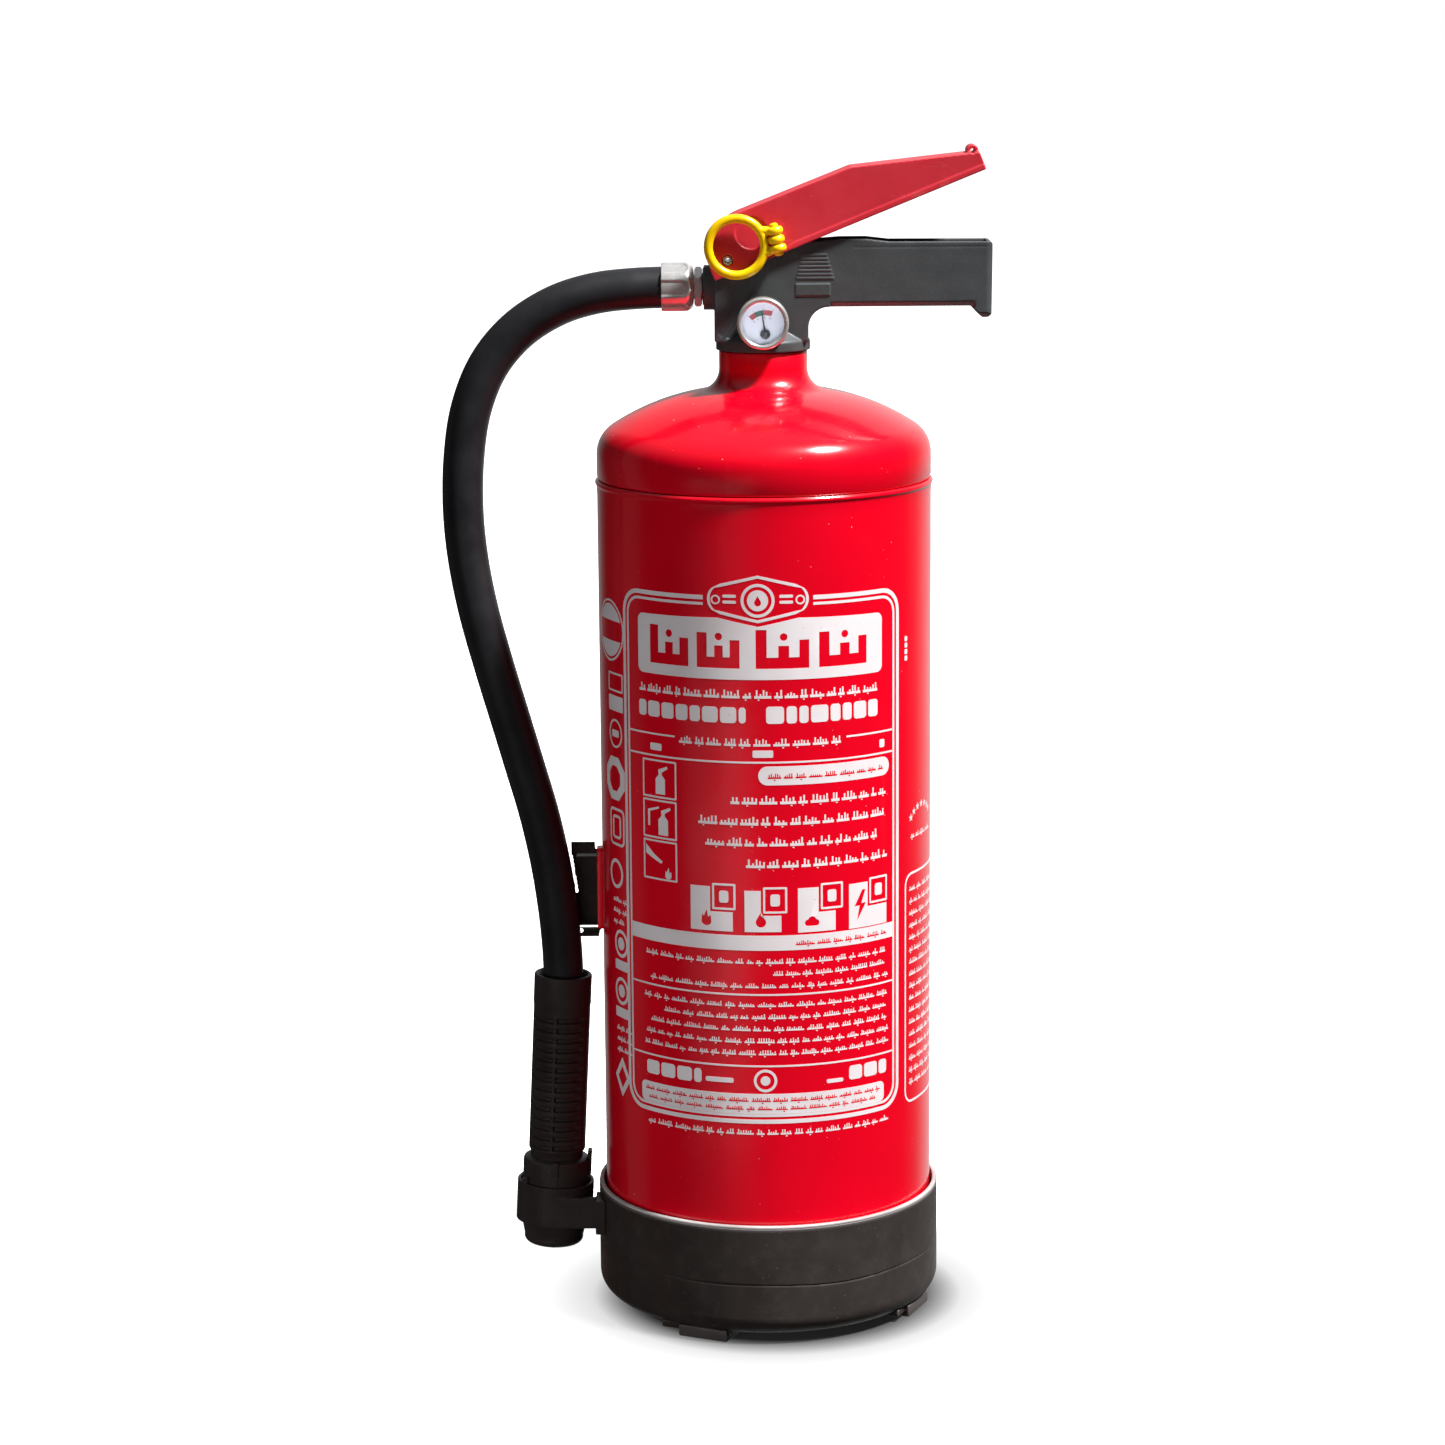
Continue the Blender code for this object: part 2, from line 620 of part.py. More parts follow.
def valve_core():
    profile = [(CORE_R, WELL_FLOOR_Z), (CORE_R, CORE_COLLAR_Z), (CORE_COLLAR_R, CORE_COLLAR_Z)]
    profile += [(CORE_COLLAR_R, NECK_TOP_Z + 0.0001), (CORE_GROOVE_R, NECK_TOP_Z + 0.0001)]
    profile += [(CORE_GROOVE_R, CORE_GROOVE_Z), (CORE_THREAD_R, CORE_GROOVE_Z)]
    profile += [(CORE_THREAD_R, CORE_THREAD_END_Z), (CORE_NOSE_R, CORE_THREAD_END_Z)]
    profile.append((CORE_NOSE_R, CORE_END_Z))
    profile += [(POPPET_CHAMBER_R, CORE_END_Z), (POPPET_CHAMBER_R, SEAT_Z), (SEAT_R, SEAT_Z)]
    profile += [(SEAT_R, SEAT_TOP_Z), (FLOW_R, SEAT_TOP_Z), (FLOW_R, GUIDE_Z), (GUIDE_R, GUIDE_Z)]
    profile += [(GUIDE_R, ORING_POCKET_Z), (ORING_POCKET_R, ORING_POCKET_Z)]
    profile.append((ORING_POCKET_R, WELL_FLOOR_Z))
    core = turned("valve_core", profile, BRASS, SMALL_SIDES)
    cut(core, rod("core_outlet", (-0.02, 0, OUTLET_Z), (0, 0, OUTLET_Z), CORE_OUTLET_R, sides=16))
    cut(core, rod("core_gauge_way", (0, -0.02, GAUGE_Z), (0, 0, GAUGE_Z), CORE_GAUGE_WAY_R, sides=12))
    return core


def gland_nut():
    top = WELL_FLOOR_Z + NUT_HEIGHT
    seat = WELL_FLOOR_Z + GAP
    nut = rod("gland_nut", (0, 0, seat), (0, 0, top), NUT_R, BRASS, 6)
    join(nut, rod("gland_spigot", (0, 0, seat - 0.0015), (0, 0, seat + 0.001), ORING_POCKET_R - GAP))
    return cut(nut, rod("gland_bore", (0, 0, seat - FAR), (0, 0, seat + FAR), GUIDE_R))


def siphon_adapter():
    top = CORE_THREAD_END_Z - GAP
    profile = [(ADAPTER_R, top), (ADAPTER_R, ADAPTER_STEP_Z + 0.003), (ADAPTER_STEP_R, ADAPTER_STEP_Z)]
    profile += [(ADAPTER_STEP_R, ADAPTER_END_Z), (TUBE_R + GAP, ADAPTER_END_Z)]
    profile += [(TUBE_R + GAP, ADAPTER_STEP_Z), (ADAPTER_WAY_R, ADAPTER_STEP_Z)]
    profile.append((ADAPTER_WAY_R, ADAPTER_FLOOR_Z))
    profile += [(SPRING_CHAMBER_R, ADAPTER_FLOOR_Z), (SPRING_CHAMBER_R, CORE_END_Z - GAP)]
    profile += [(CORE_NOSE_R + GAP, CORE_END_Z - GAP), (CORE_NOSE_R + GAP, top)]
    return turned("siphon_adapter", profile, GREY_PLASTIC, SMALL_SIDES)


def dip_tube():
    top = ADAPTER_STEP_Z - GAP
    tube = washer("dip_tube", TUBE_R, TUBE_R - TUBE_WALL, TUBE_END_Z, top, GREY_PLASTIC)
    notch_low = (-TUBE_R / 2, -FAR, TUBE_END_Z - TUBE_NOTCH)
    notch_high = (TUBE_R / 2, FAR, TUBE_END_Z + TUBE_NOTCH)
    return cut(tube, block("tube_notch", notch_low, notch_high))


def valve_stem():
    dome_z = STEM_TOP_Z - STEM_R
    profile = arc((0, dome_z), STEM_R, 90, 0, 4)
    profile += [(STEM_R, POPPET_TOP_Z), (POPPET_R, POPPET_TOP_Z), (POPPET_R, POPPET_Z), (0, POPPET_Z)]
    return turned("valve_stem", profile, STEEL, SMALL_SIDES, ring=False)


def stem_seal():
    low = POPPET_TOP_Z + GAP
    return washer("stem_seal", STEM_SEAL_R, STEM_R + GAP, low, SEAT_Z - GAP, SEAL_RUBBER)


def spring_coil():
    """A compression spring under the stem's poppet."""
    low = ADAPTER_FLOOR_Z + GAP + SPRING_WIRE_R
    high = POPPET_Z - GAP - SPRING_WIRE_R
    steps = 8 * SPRING_TURNS
    curve = bpy.data.curves.new("stem_spring", "CURVE")
    curve.dimensions = "3D"
    curve.bevel_depth = SPRING_WIRE_R
    curve.bevel_resolution = 1
    curve.use_fill_caps = True
    spline = curve.splines.new("POLY")
    spline.points.add(steps)
    for index, spot in enumerate(spline.points):
        turn = FULL_TURN * SPRING_TURNS * index / steps
        height = low + (high - low) * index / steps
        spot.co = (SPRING_R * math.cos(turn), SPRING_R * math.sin(turn), height, 1)
    obj = bpy.data.objects.new("stem_spring", curve)
    curve.materials.append(STEEL)
    PARTS.objects.link(obj)
    return obj


# ---------------------------------------------------------------- lever, pin and ring


def lever_frame():
    return Matrix.Translation(PIVOT) @ Matrix.Rotation(-LEVER_TILT, 4, "Y")


def lever_shape(inset, under, end):
    """The lever's side view in its own frame: the pivot is the origin, its length the first axis."""
    rear_z = LEVER_TOP - LEVER_REAR_R
    radius = LEVER_REAR_R - inset
    dip = math.degrees(math.asin(min(1.0, (rear_z - under) / radius)))
    points = arc((LEVER_REAR_CENTRE, rear_z), radius, 180 + dip, 90, 8)
    points.append((LEVER_KINK[0] - inset / 4, LEVER_KINK[1] - inset))
    points.append((LEVER_TAPER_END[0] - inset, LEVER_TAPER_END[1] - inset))
    points += [(end, LEVER_TIP_TOP - inset), (end, under)]
    return points


def in_lever_frame(obj):
    obj.matrix_world = lever_frame() @ obj.matrix_world
    return obj


def lever():
    side = lever_shape(0, LEVER_UNDER, LEVER_TIP)
    grip = in_lever_frame(outline("lever", side, LEVER_HALF_WIDTH, RED_PLASTIC))
    half_inside = LEVER_HALF_WIDTH - LEVER_WALL
    hollow = lever_shape(LEVER_WALL, LEVER_UNDER - 0.002, LEVER_INSIDE_END)
    cut(grip, in_lever_frame(outline("lever_hollow", hollow, half_inside)))
    rear_low = (-LEVER_REAR_R, -half_inside, -LEVER_REAR_R)
    rear = block("lever_rear_opening", rear_low, (0.0, half_inside, LEVER_REAR_OPENING_Z))
    cut(grip, in_lever_frame(rear))
    knob_at = Vector((TIP_KNOB[0], 0, TIP_KNOB[1]))
    join(grip, in_lever_frame(across("lever_tip_knob", knob_at, TIP_KNOB_HALF, TIP_KNOB_R)))
    half_x, half_y = PAD_HALF
    rib_low = (PAD_RIB_X[0], -half_y, PAD_RIB_Z[0])
    rib_high = (PAD_RIB_X[1], half_y, PAD_RIB_Z[1])
    join(grip, in_lever_frame(block("pad_rib", rib_low, rib_high)))
    pad_high = (half_x, half_y, PAD_Z + PAD_HEIGHT)
    join(grip, block("lever_pad", (-half_x, -half_y, PAD_Z), pad_high))
    cut(grip, across("lever_pivot_hole", PIVOT, FAR, PIVOT_PIN_R + 0.0002))
    return cut(grip, across("lever_pin_hole", PIN, FAR, PIN_R + GAP))


def lever_pivot_pin():
    """A rolled spring pin, drawn as a tube."""
    half = LEVER_HALF_WIDTH + 0.0003
    pin = washer("lever_pivot_pin", PIVOT_PIN_R, 0.0013, -half, half, STEEL, 16)
    return place(pin, PIVOT, Vector((0, -1, 0)))


def barrel_axis():
    return Vector((math.sin(BARREL_TILT), 0, math.cos(BARREL_TILT)))


def barrel_centre():
    return Vector((PIN.x, RING_Y, PIN.z))


def hinge_bore(name):
    reach = barrel_axis() * FAR
    middle = barrel_centre()
    return rod(name, middle - reach, middle + reach, HINGE_PIN_R + 0.0002, sides=16)


def safety_pin():
    """The pin's shank and the knuckle on its head that the ring hinges on."""
    low = barrel_centre() - barrel_axis() * LOBE_HEIGHT / 2
    high = barrel_centre() + barrel_axis() * LOBE_HEIGHT / 2
    back = (PIN.x, PIN_BACK_Y, PIN.z)
    pin = rod("safety_pin", barrel_centre(), back, PIN_R, YELLOW_PLASTIC, 16)
    join(pin, rod("pin_knuckle", low, high, BARREL_R))
    return cut(pin, hinge_bore("knuckle_bore"))


def pull_ring():
    """The finger ring with its two arms and the two knuckles either side of the pin's own."""
    around = 8
    turns = [FULL_TURN * i / around for i in range(around)]
    section = [(RING_R + RING_TUBE_R * math.sin(t), RING_TUBE_R * math.cos(t)) for t in turns]
    ring = turned("pull_ring", section, YELLOW_PLASTIC, 32)
    place(ring, RING_CENTRE, Vector((0, -1, 0)))
    axis = barrel_axis()
    room = axis * (LOBE_HEIGHT / 2 + GAP)
    for side in (-1, 1):
        near = barrel_centre() + room * side
        far = barrel_centre() + axis * side * (LOBE_HEIGHT * 1.5)
        middle = (near + far) / 2
        toward = (RING_CENTRE - middle).normalized()
        root = RING_CENTRE - toward * (RING_R - 0.0004) + axis * side * RING_ARM_SPREAD
        join(ring, rod(f"ring_knuckle_{side}", near, far, BARREL_R))
        join(ring, rod(f"ring_arm_{side}", root, middle, RING_ARM_R, sides=12))
    cut(ring, rod("knuckle_room", barrel_centre() - room, barrel_centre() + room, BARREL_R + GAP))
    return cut(ring, hinge_bore("ring_bore"))


def ring_hinge_pin():
    reach = barrel_axis() * HINGE_PIN_LENGTH / 2
    low = barrel_centre() - reach
    high = barrel_centre() + reach
    return rod("ring_hinge_pin", low, high, HINGE_PIN_R, YELLOW_PLASTIC, 16)


# ---------------------------------------------------------------- gauge


def gauge_frame():
    turn = Matrix.Rotation(math.pi / 2, 4, "X") @ Matrix.Rotation(GAUGE_TURN, 4, "Z")
    return Matrix.Translation((0, 0, GAUGE_Z)) @ turn


def needle_hub():
    return gauge_frame() @ Vector((0, -HUB_DROP, DIAL_DEPTH))


def on_gauge(obj):
    """Turns a piece made on +Z, whose height is its depth, to the front of the valve body."""
    obj.matrix_world = gauge_frame() @ obj.matrix_world
    return obj


def gauge_case():
    front = DIAL_DEPTH + 0.0012
    profile = [(CASE_R - 0.0005, front), (CASE_R, front), (CASE_R, CASE_BACK), (GAUGE_STEM_R, CASE_BACK)]
    profile += [(GAUGE_STEM_R, GAUGE_STEM_END), (0.001, GAUGE_STEM_END), (0.001, CASE_BACK + 0.0009)]
    profile += [(CASE_R - 0.0005, CASE_BACK + 0.0009)]
    return on_gauge(turned("gauge_case", profile, CHROME, SMALL_SIDES))


def gauge_bezel():
    side = CASE_R + GAP
    lip = DIAL_R - 0.0004
    profile = [(lip, BEZEL_DEPTH - 0.0003), (lip + 0.0006, BEZEL_DEPTH), (BEZEL_R - 0.0007, BEZEL_DEPTH)]
    profile += [(BEZEL_R, BEZEL_DEPTH - 0.0009), (BEZEL_R, BEZEL_BACK), (side, BEZEL_BACK)]
    profile.append((side, LENS_DEPTH + 0.0007))
    profile += [(lip, LENS_DEPTH + 0.0007)]
    return on_gauge(turned("gauge_bezel", profile, CHROME, SMALL_SIDES))


def gauge_dial():
    plate = washer("gauge_dial", DIAL_R, 0.0009, DIAL_DEPTH - 0.0005, DIAL_DEPTH, WHITE_DIAL)
    hub_hole = rod("dial_hub_hole", (0, -HUB_DROP, 0), (0, -HUB_DROP, FAR), 0.0011, sides=12)
    return cut(on_gauge(plate), on_gauge(hub_hole))


def gauge_lens():
    lens = disc("gauge_lens", DIAL_R + 0.0006, LENS_DEPTH - 0.0007, LENS_DEPTH + 0.0004, CLEAR)
    return on_gauge(lens)


def gauge_seal():
    low = BOSS_DEPTH + 0.0002
    high = CASE_BACK - 0.0002
    return on_gauge(washer("gauge_seal", GAUGE_SEAL_R, GAUGE_STEM_R + GAP, low, high, SEAL_RUBBER))


def gauge_needle():
    """A pointer with its round hub and a short spindle through the dial."""
    low = DIAL_DEPTH + 0.0004
    tail = DIAL_DEPTH - 0.0018
    hub = rod("gauge_needle", (0, 0, tail), (0, 0, low + 0.0005), 0.0008, BLACK_CASTING, 12)
    blade = [(-0.0022, 0), (-0.0014, -0.0017), (0.0014, -0.0017), (0.0022, 0), (0.0010, 0.0019)]
    blade += [(0.00018, NEEDLE_LENGTH), (-0.00018, NEEDLE_LENGTH), (-0.0010, 0.0019)]
    pointer = outline("needle_blade", blade, 0.00022)
    laid_flat = Matrix.Translation((0, 0, low + 0.00022)) @ Matrix.Rotation(-math.pi / 2, 4, "X")
    pointer.matrix_world = laid_flat @ pointer.matrix_world
    aim = Matrix.Translation((0, -HUB_DROP, 0)) @ Matrix.Rotation(NEEDLE_TURN - GAUGE_TURN, 4, "Z")
    for piece in (hub, pointer):
        piece.matrix_world = aim @ piece.matrix_world
        on_gauge(piece)
    return join(hub, pointer)


def bourdon_tube():
    """The curved pressure tube behind the dial that turns the needle."""
    mid = (CASE_BACK + 0.0009 + DIAL_DEPTH - 0.0005) / 2
    curve = bpy.data.curves.new("bourdon_tube", "CURVE")
    curve.dimensions = "3D"
    curve.bevel_depth = BOURDON_TUBE_R
    curve.bevel_resolution = 1
    curve.use_fill_caps = True
    spline = curve.splines.new("POLY")
    turns = [math.radians(-60 + 15 * i) for i in range(18)]
    spline.points.add(len(turns) - 1)
    for spot, turn in zip(spline.points, turns):
        spot.co = (BOURDON_R * math.cos(turn), BOURDON_R * math.sin(turn), mid, 1)
    obj = bpy.data.objects.new("bourdon_tube", curve)
    curve.materials.append(BRASS)
    PARTS.objects.link(obj)
    return on_gauge(obj)


# ---------------------------------------------------------------- hose, nozzle and their holders


def toward_hose(obj):
    """Turns a piece made on +Z, whose height is its distance from the vessel's axis, towards the hose."""
    return place(obj, Vector((0, 0, OUTLET_Z)), Vector((-1, 0, 0)))


def hose_fitting():
    end = FERRULE_START + 0.0011
    profile = [(FITTING_BORE_R, end), (FITTING_TAIL_R, end), (FITTING_TAIL_R, HEX_START)]
    profile += [(FITTING_THREAD_R, HEX_START), (FITTING_THREAD_R, FITTING_END)]
    profile.append((FITTING_BORE_R, FITTING_END))
    fitting = toward_hose(turned("hose_fitting", profile, CHROME, SMALL_SIDES))
    hexagon = rod("fitting_hex", (-HEX_START, 0, OUTLET_Z), (-HEX_END, 0, OUTLET_Z), HEX_R, sides=6)
    join(fitting, soften(hexagon, 0.0004))
    bore_end = (FAR, 0, OUTLET_Z)
    return cut(fitting, rod("fitting_bore", (-FAR, 0, OUTLET_Z), bore_end, FITTING_BORE_R + 0.0002))


def fitting_seal():
    low = OUTLET_FACE + GAP
    high = HEX_START - GAP
    seal = washer("fitting_seal", FITTING_SEAL_R, FITTING_THREAD_R + GAP, low, high, SEAL_RUBBER)
    return toward_hose(seal)


def ferrule():
    inner = HOSE_R + 0.0004
    profile = [(inner, FERRULE_END), (FERRULE_R, FERRULE_END), (FERRULE_R, FERRULE_START + 0.0042)]
    profile += [(FERRULE_R - 0.0006, FERRULE_START + 0.0018), (FERRULE_R - 0.0024, FERRULE_START)]
    profile += [(FERRULE_MOUTH_R, FERRULE_START), (FERRULE_MOUTH_R, FERRULE_START + 0.0010)]
    profile.append((inner, FERRULE_START + 0.0010))
    return toward_hose(turned("ferrule", profile, CHROME, SMALL_SIDES))


def smooth_route(route, count):
    """Points at equal steps on a smooth curve through the route's points."""
    spots = [Vector((x, 0, z)) for x, z in route]
    spots = [2 * spots[0] - spots[1]] + spots + [2 * spots[-1] - spots[-2]]
    fine = []
    for a, b, c, d in zip(spots, spots[1:], spots[2:], spots[3:]):
        for step in range(12):
            t = step / 12
            bend = (2 * a - 5 * b + 4 * c - d) * t**2 + (3 * b - a - 3 * c + d) * t**3
            fine.append((2 * b + (c - a) * t + bend) / 2)
    fine.append(spots[-2])
    lengths = [0.0]
    for a, b in zip(fine, fine[1:]):
        lengths.append(lengths[-1] + (b - a).length)
    points = []
    place_in = 0
    for index in range(count):
        target = lengths[-1] * index / (count - 1)
        while place_in < len(fine) - 2 and lengths[place_in + 1] < target:
            place_in += 1
        share = (target - lengths[place_in]) / (lengths[place_in + 1] - lengths[place_in])
        points.append(fine[place_in].lerp(fine[place_in + 1], share))
    return points


def hose():
    points = smooth_route(HOSE_ROUTE, HOSE_POINTS)
    curve = bpy.data.curves.new("hose", "CURVE")
    curve.dimensions = "3D"
    curve.bevel_depth = HOSE_R
    curve.bevel_resolution = 2
    curve.use_fill_caps = True
    spline = curve.splines.new("POLY")
    spline.points.add(len(points) - 1)
    for spot, point in zip(spline.points, points):
        spot.co = (*point, 1)
    obj = bpy.data.objects.new("hose", curve)
    curve.materials.append(BLACK_RUBBER)
    PARTS.objects.link(obj)
    return obj


def along_nozzle(obj):
    """Turns a piece made downwards from the origin to the nozzle's own axis."""
    return place(obj, NOZZLE_TOP, (NOZZLE_TOP - NOZZLE_TIP).normalized())


def nozzle_grip():
    socket = HOSE_R + 0.0005
    profile = [(socket, 0), (COLLAR_R, 0), (COLLAR_R, -COLLAR_LENGTH), (GRIP_R, -COLLAR_LENGTH)]
    profile += [(GRIP_R, -GRIP_LENGTH), (SPIGOT_R, -GRIP_LENGTH), (SPIGOT_R, -GRIP_LENGTH - SPIGOT_LENGTH)]
    profile += [(NOZZLE_BORE_R, -GRIP_LENGTH - SPIGOT_LENGTH), (NOZZLE_BORE_R, -HOSE_SOCKET_DEPTH)]
    profile += [(socket, -HOSE_SOCKET_DEPTH)]
    return along_nozzle(turned("nozzle_grip", profile, BROWN_BLACK, SMALL_SIDES))


def nozzle_cup():
    end = -(NOZZLE_TOP - NOZZLE_TIP).length
    top = -GRIP_LENGTH - GAP
    floor = -GRIP_LENGTH - SPIGOT_LENGTH - GAP
    profile = [(SPIGOT_R + GAP, top), (CUP_R - 0.0012, top), (CUP_R, top - 0.0020), (CUP_R, end + 0.020)]
    profile += [(CUP_R - 0.0006, end + 0.010), (CUP_END_R, end + 0.0016), (CUP_END_R - 0.0016, end)]
    profile += [(NOZZLE_BORE_R + 0.0026, end), (NOZZLE_BORE_R, floor - 0.004), (NOZZLE_BORE_R, floor)]
    profile += [(SPIGOT_R + GAP, floor)]
    return along_nozzle(turned("nozzle_cup", profile, BROWN_BLACK, SMALL_SIDES))


def nozzle_axis_x(z):
    share = (NOZZLE_TOP.z - z) / (NOZZLE_TOP.z - NOZZLE_TIP.z)
    return NOZZLE_TOP.x + (NOZZLE_TIP.x - NOZZLE_TOP.x) * share


def nozzle_holder():
    """A ring for the nozzle on an arm whose flange follows the boot's wall."""
    low, high = HOLDER_Z
    axis = (NOZZLE_TOP - NOZZLE_TIP).normalized()
    middle = Vector((nozzle_axis_x((low + high) / 2), 0, (low + high) / 2))
    half = axis * (high - low) / 2
    ring = rod("nozzle_holder", middle - half, middle + half, HOLDER_R, BROWN_BLACK, 32)
    arm_low, arm_high = HOLDER_ARM_Z
    arm_near = (HOLDER_ARM_X[0], -HOLDER_R, arm_low)
    arm_far = (HOLDER_ARM_X[1], HOLDER_ARM_THICK - HOLDER_R, arm_high)
    join(ring, block("holder_arm", arm_near, arm_far))
    flange_near = (HOLDER_FLANGE_X[0], HOLDER_FLANGE_Y[0], arm_low - 0.0008)
    flange_far = (HOLDER_FLANGE_X[1], HOLDER_FLANGE_Y[1], arm_high + 0.0006)
    join(ring, block("holder_flange", flange_near, flange_far))
    reach = axis * FAR
    cut(ring, rod("holder_bore", middle - reach, middle + reach, HOLDER_CLEAR_R, sides=32))
    return cut(ring, rod("boot_room", (0, 0, 0), (0, 0, 2 * FAR), BOOT_R + GAP, sides=SIDES))


def vessel_room(name, gap):
    """The room that the vessel's wall takes behind the clip and its lug."""
    return rod(name, (0, 0, CLIP_AT.z - FAR), (0, 0, CLIP_AT.z + FAR), VESSEL_R + gap, sides=SIDES)


def hose_clip():
    """A spring clip round the hose, and the block that carries it and slides over the lug."""
    axis = Vector((-math.sin(CLIP_TILT), 0, math.cos(CLIP_TILT)))
    half = axis * CLIP_HALF_HEIGHT
    clip = rod("hose_clip", CLIP_AT - half, CLIP_AT + half, CLIP_R, BROWN_BLACK, 32)
    reach = axis * FAR
    mouth = [(0.0, 0.0)] + arc((0.0, 0.0), FAR, CLIP_MOUTH[0], CLIP_MOUTH[1], 3)
    wedge = outline("clip_mouth", mouth, CLIP_HALF_HEIGHT * 1.5)
    turn = Matrix.Rotation(-math.pi / 2, 4, "X")
    wedge.matrix_world = Matrix.Translation(CLIP_AT) @ turn @ wedge.matrix_world
    cut(clip, wedge)
    join(clip, block("clip_back_block", *CLIP_BACK_BLOCK), block("clip_front_block", *CLIP_FRONT_BLOCK))
    cut(clip, rod("clip_bore", CLIP_AT - reach, CLIP_AT + reach, CLIP_CLEAR_R, sides=32))
    cut(clip, vessel_room("clip_vessel_room", 0.0007))
    margin = Vector((GAP, GAP, GAP))
    return cut(clip, block("lug_slot", LUG_LOW - margin, LUG_HIGH + margin))


def clip_lug():
    """The lug on the vessel's wall that the clip's block slides over."""
    lug = block("clip_lug", LUG_LOW, LUG_HIGH, RED_PAINT)
    return cut(lug, vessel_room("lug_vessel_room", GAP))


def stand_on_floor():
    """Raises everything by the height of the datum line that the heights are measured from."""
    bpy.context.view_layer.update()
    for obj in [*PARTS.objects, *CUTTERS.objects]:
        if obj.parent is None:
            obj.matrix_world = Matrix.Translation((0, 0, DATUM_Z)) @ obj.matrix_world


def main():
    vessel_shell()
    vessel_dome()
    neck_collar()
    base_boot()
    powder_charge()
    valve_body()
    valve_core()
    oring("neck_seal", *NECK_SEAL, SEAL_RUBBER)
    gland_nut()
    oring("stem_oring", *STEM_ORING, SEAL_RUBBER, 16, 8)
    siphon_adapter()
    dip_tube()
    stem = valve_stem()
    seal = stem_seal()
    spring_coil()
    squeeze = lever()
    lever_pivot_pin()
    pin = safety_pin()
    hinge_pin = ring_hinge_pin()
    ring = pull_ring()
    gauge_case()
    gauge_bezel()
    gauge_dial()
    gauge_lens()
    gauge_seal()
    bourdon_tube()
    needle = gauge_needle()
    hose_fitting()
    fitting_seal()
    ferrule()
    hose()
    nozzle_grip()
    nozzle_cup()
    nozzle_holder()
    hose_clip()
    clip_lug()
    joint_axis("lever_axis", PIVOT, squeeze)
    joint_axis("stem_axis", (0, 0, STEM_TOP_Z), stem, seal)
    joint_axis("safety_pin_axis", PIN, pin, hinge_pin)
    joint_axis("pull_ring_axis", barrel_centre(), ring)
    joint_axis("needle_axis", needle_hub(), needle)
    stand_on_floor()


main()
for part in PARTS.objects:
    if part.type == "MESH":
        shade(part.data)
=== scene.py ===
"""The looks of a 6 kg powder fire extinguisher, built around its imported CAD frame.

Metres, +Z up, as the frame has it. Radii, heights and joint axes come from the frame's boxes and
joints; the constants below are the finer shapes that only this script draws. Heights are measured
from a datum line near the boot's underside, and dress() raises each piece to its height over the
floor.
"""

import json
import math
import random

import bmesh
import bpy
from mathutils import Matrix, Vector


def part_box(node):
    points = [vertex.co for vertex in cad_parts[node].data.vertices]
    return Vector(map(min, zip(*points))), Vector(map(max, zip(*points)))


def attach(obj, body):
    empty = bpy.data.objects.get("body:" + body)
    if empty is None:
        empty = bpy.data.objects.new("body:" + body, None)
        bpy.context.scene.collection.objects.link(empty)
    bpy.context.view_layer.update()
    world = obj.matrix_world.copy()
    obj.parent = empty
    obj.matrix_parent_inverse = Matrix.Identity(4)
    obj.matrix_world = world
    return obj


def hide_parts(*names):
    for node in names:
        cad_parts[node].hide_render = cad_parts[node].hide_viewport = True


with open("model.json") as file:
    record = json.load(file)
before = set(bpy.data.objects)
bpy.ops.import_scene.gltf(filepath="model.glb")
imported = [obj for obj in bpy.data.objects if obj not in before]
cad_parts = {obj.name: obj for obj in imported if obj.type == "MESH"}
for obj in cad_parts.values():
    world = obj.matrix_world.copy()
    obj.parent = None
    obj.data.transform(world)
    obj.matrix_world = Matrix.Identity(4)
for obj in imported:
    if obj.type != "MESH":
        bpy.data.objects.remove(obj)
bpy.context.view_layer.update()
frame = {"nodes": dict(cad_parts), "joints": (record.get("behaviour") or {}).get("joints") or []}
NODES = frame["nodes"]
JOINTS = {joint["name"]: joint for joint in frame["joints"]}

FULL_TURN = 2 * math.pi
ROUND = 160
MM = 0.001
# Shorter than any real edge.
TINY = 1e-7
# Half the length of a cutter that goes right through the valve or the lever.
THROUGH = 0.03
# The two sides of the valve and the lever, along Y.
CHEEKS = (-1, 1)

DATUM_Z = 0.0062
DATUM = Vector((0, 0, DATUM_Z))


def node_box(name):
    """A node's box corners, with heights from the datum line."""
    low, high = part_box(name)
    return Vector(low) - DATUM, Vector(high) - DATUM


# Places read from the frame.
SHELL_LOW, SHELL_HIGH = node_box("vessel_shell")
BEAD = 0.0009
VESSEL_R = SHELL_HIGH.x - BEAD
SEAM_Z = SHELL_HIGH.z
BOTTOM_Z = SHELL_LOW.z
NECK_TOP_Z = node_box("vessel_dome")[1].z
BOOT_R = 0.0784
BOOT_RIM_Z = node_box("base_boot")[1].z
GAUGE_LOW, GAUGE_HIGH = node_box("gauge_bezel")
GAUGE_Z = (GAUGE_LOW.z + GAUGE_HIGH.z) / 2
BEZEL_R = (GAUGE_HIGH.z - GAUGE_LOW.z) / 2
PIVOT = Vector(JOINTS["lever_squeeze"]["pos_m"]) - DATUM
KNUCKLE = Vector(JOINTS["pull_ring_swing"]["pos_m"]) - DATUM
KNUCKLE_AXIS = -Vector(JOINTS["pull_ring_swing"]["axis"])
FERRULE_LOW, FERRULE_HIGH = node_box("ferrule")
OUTLET_Z = (FERRULE_LOW.z + FERRULE_HIGH.z) / 2

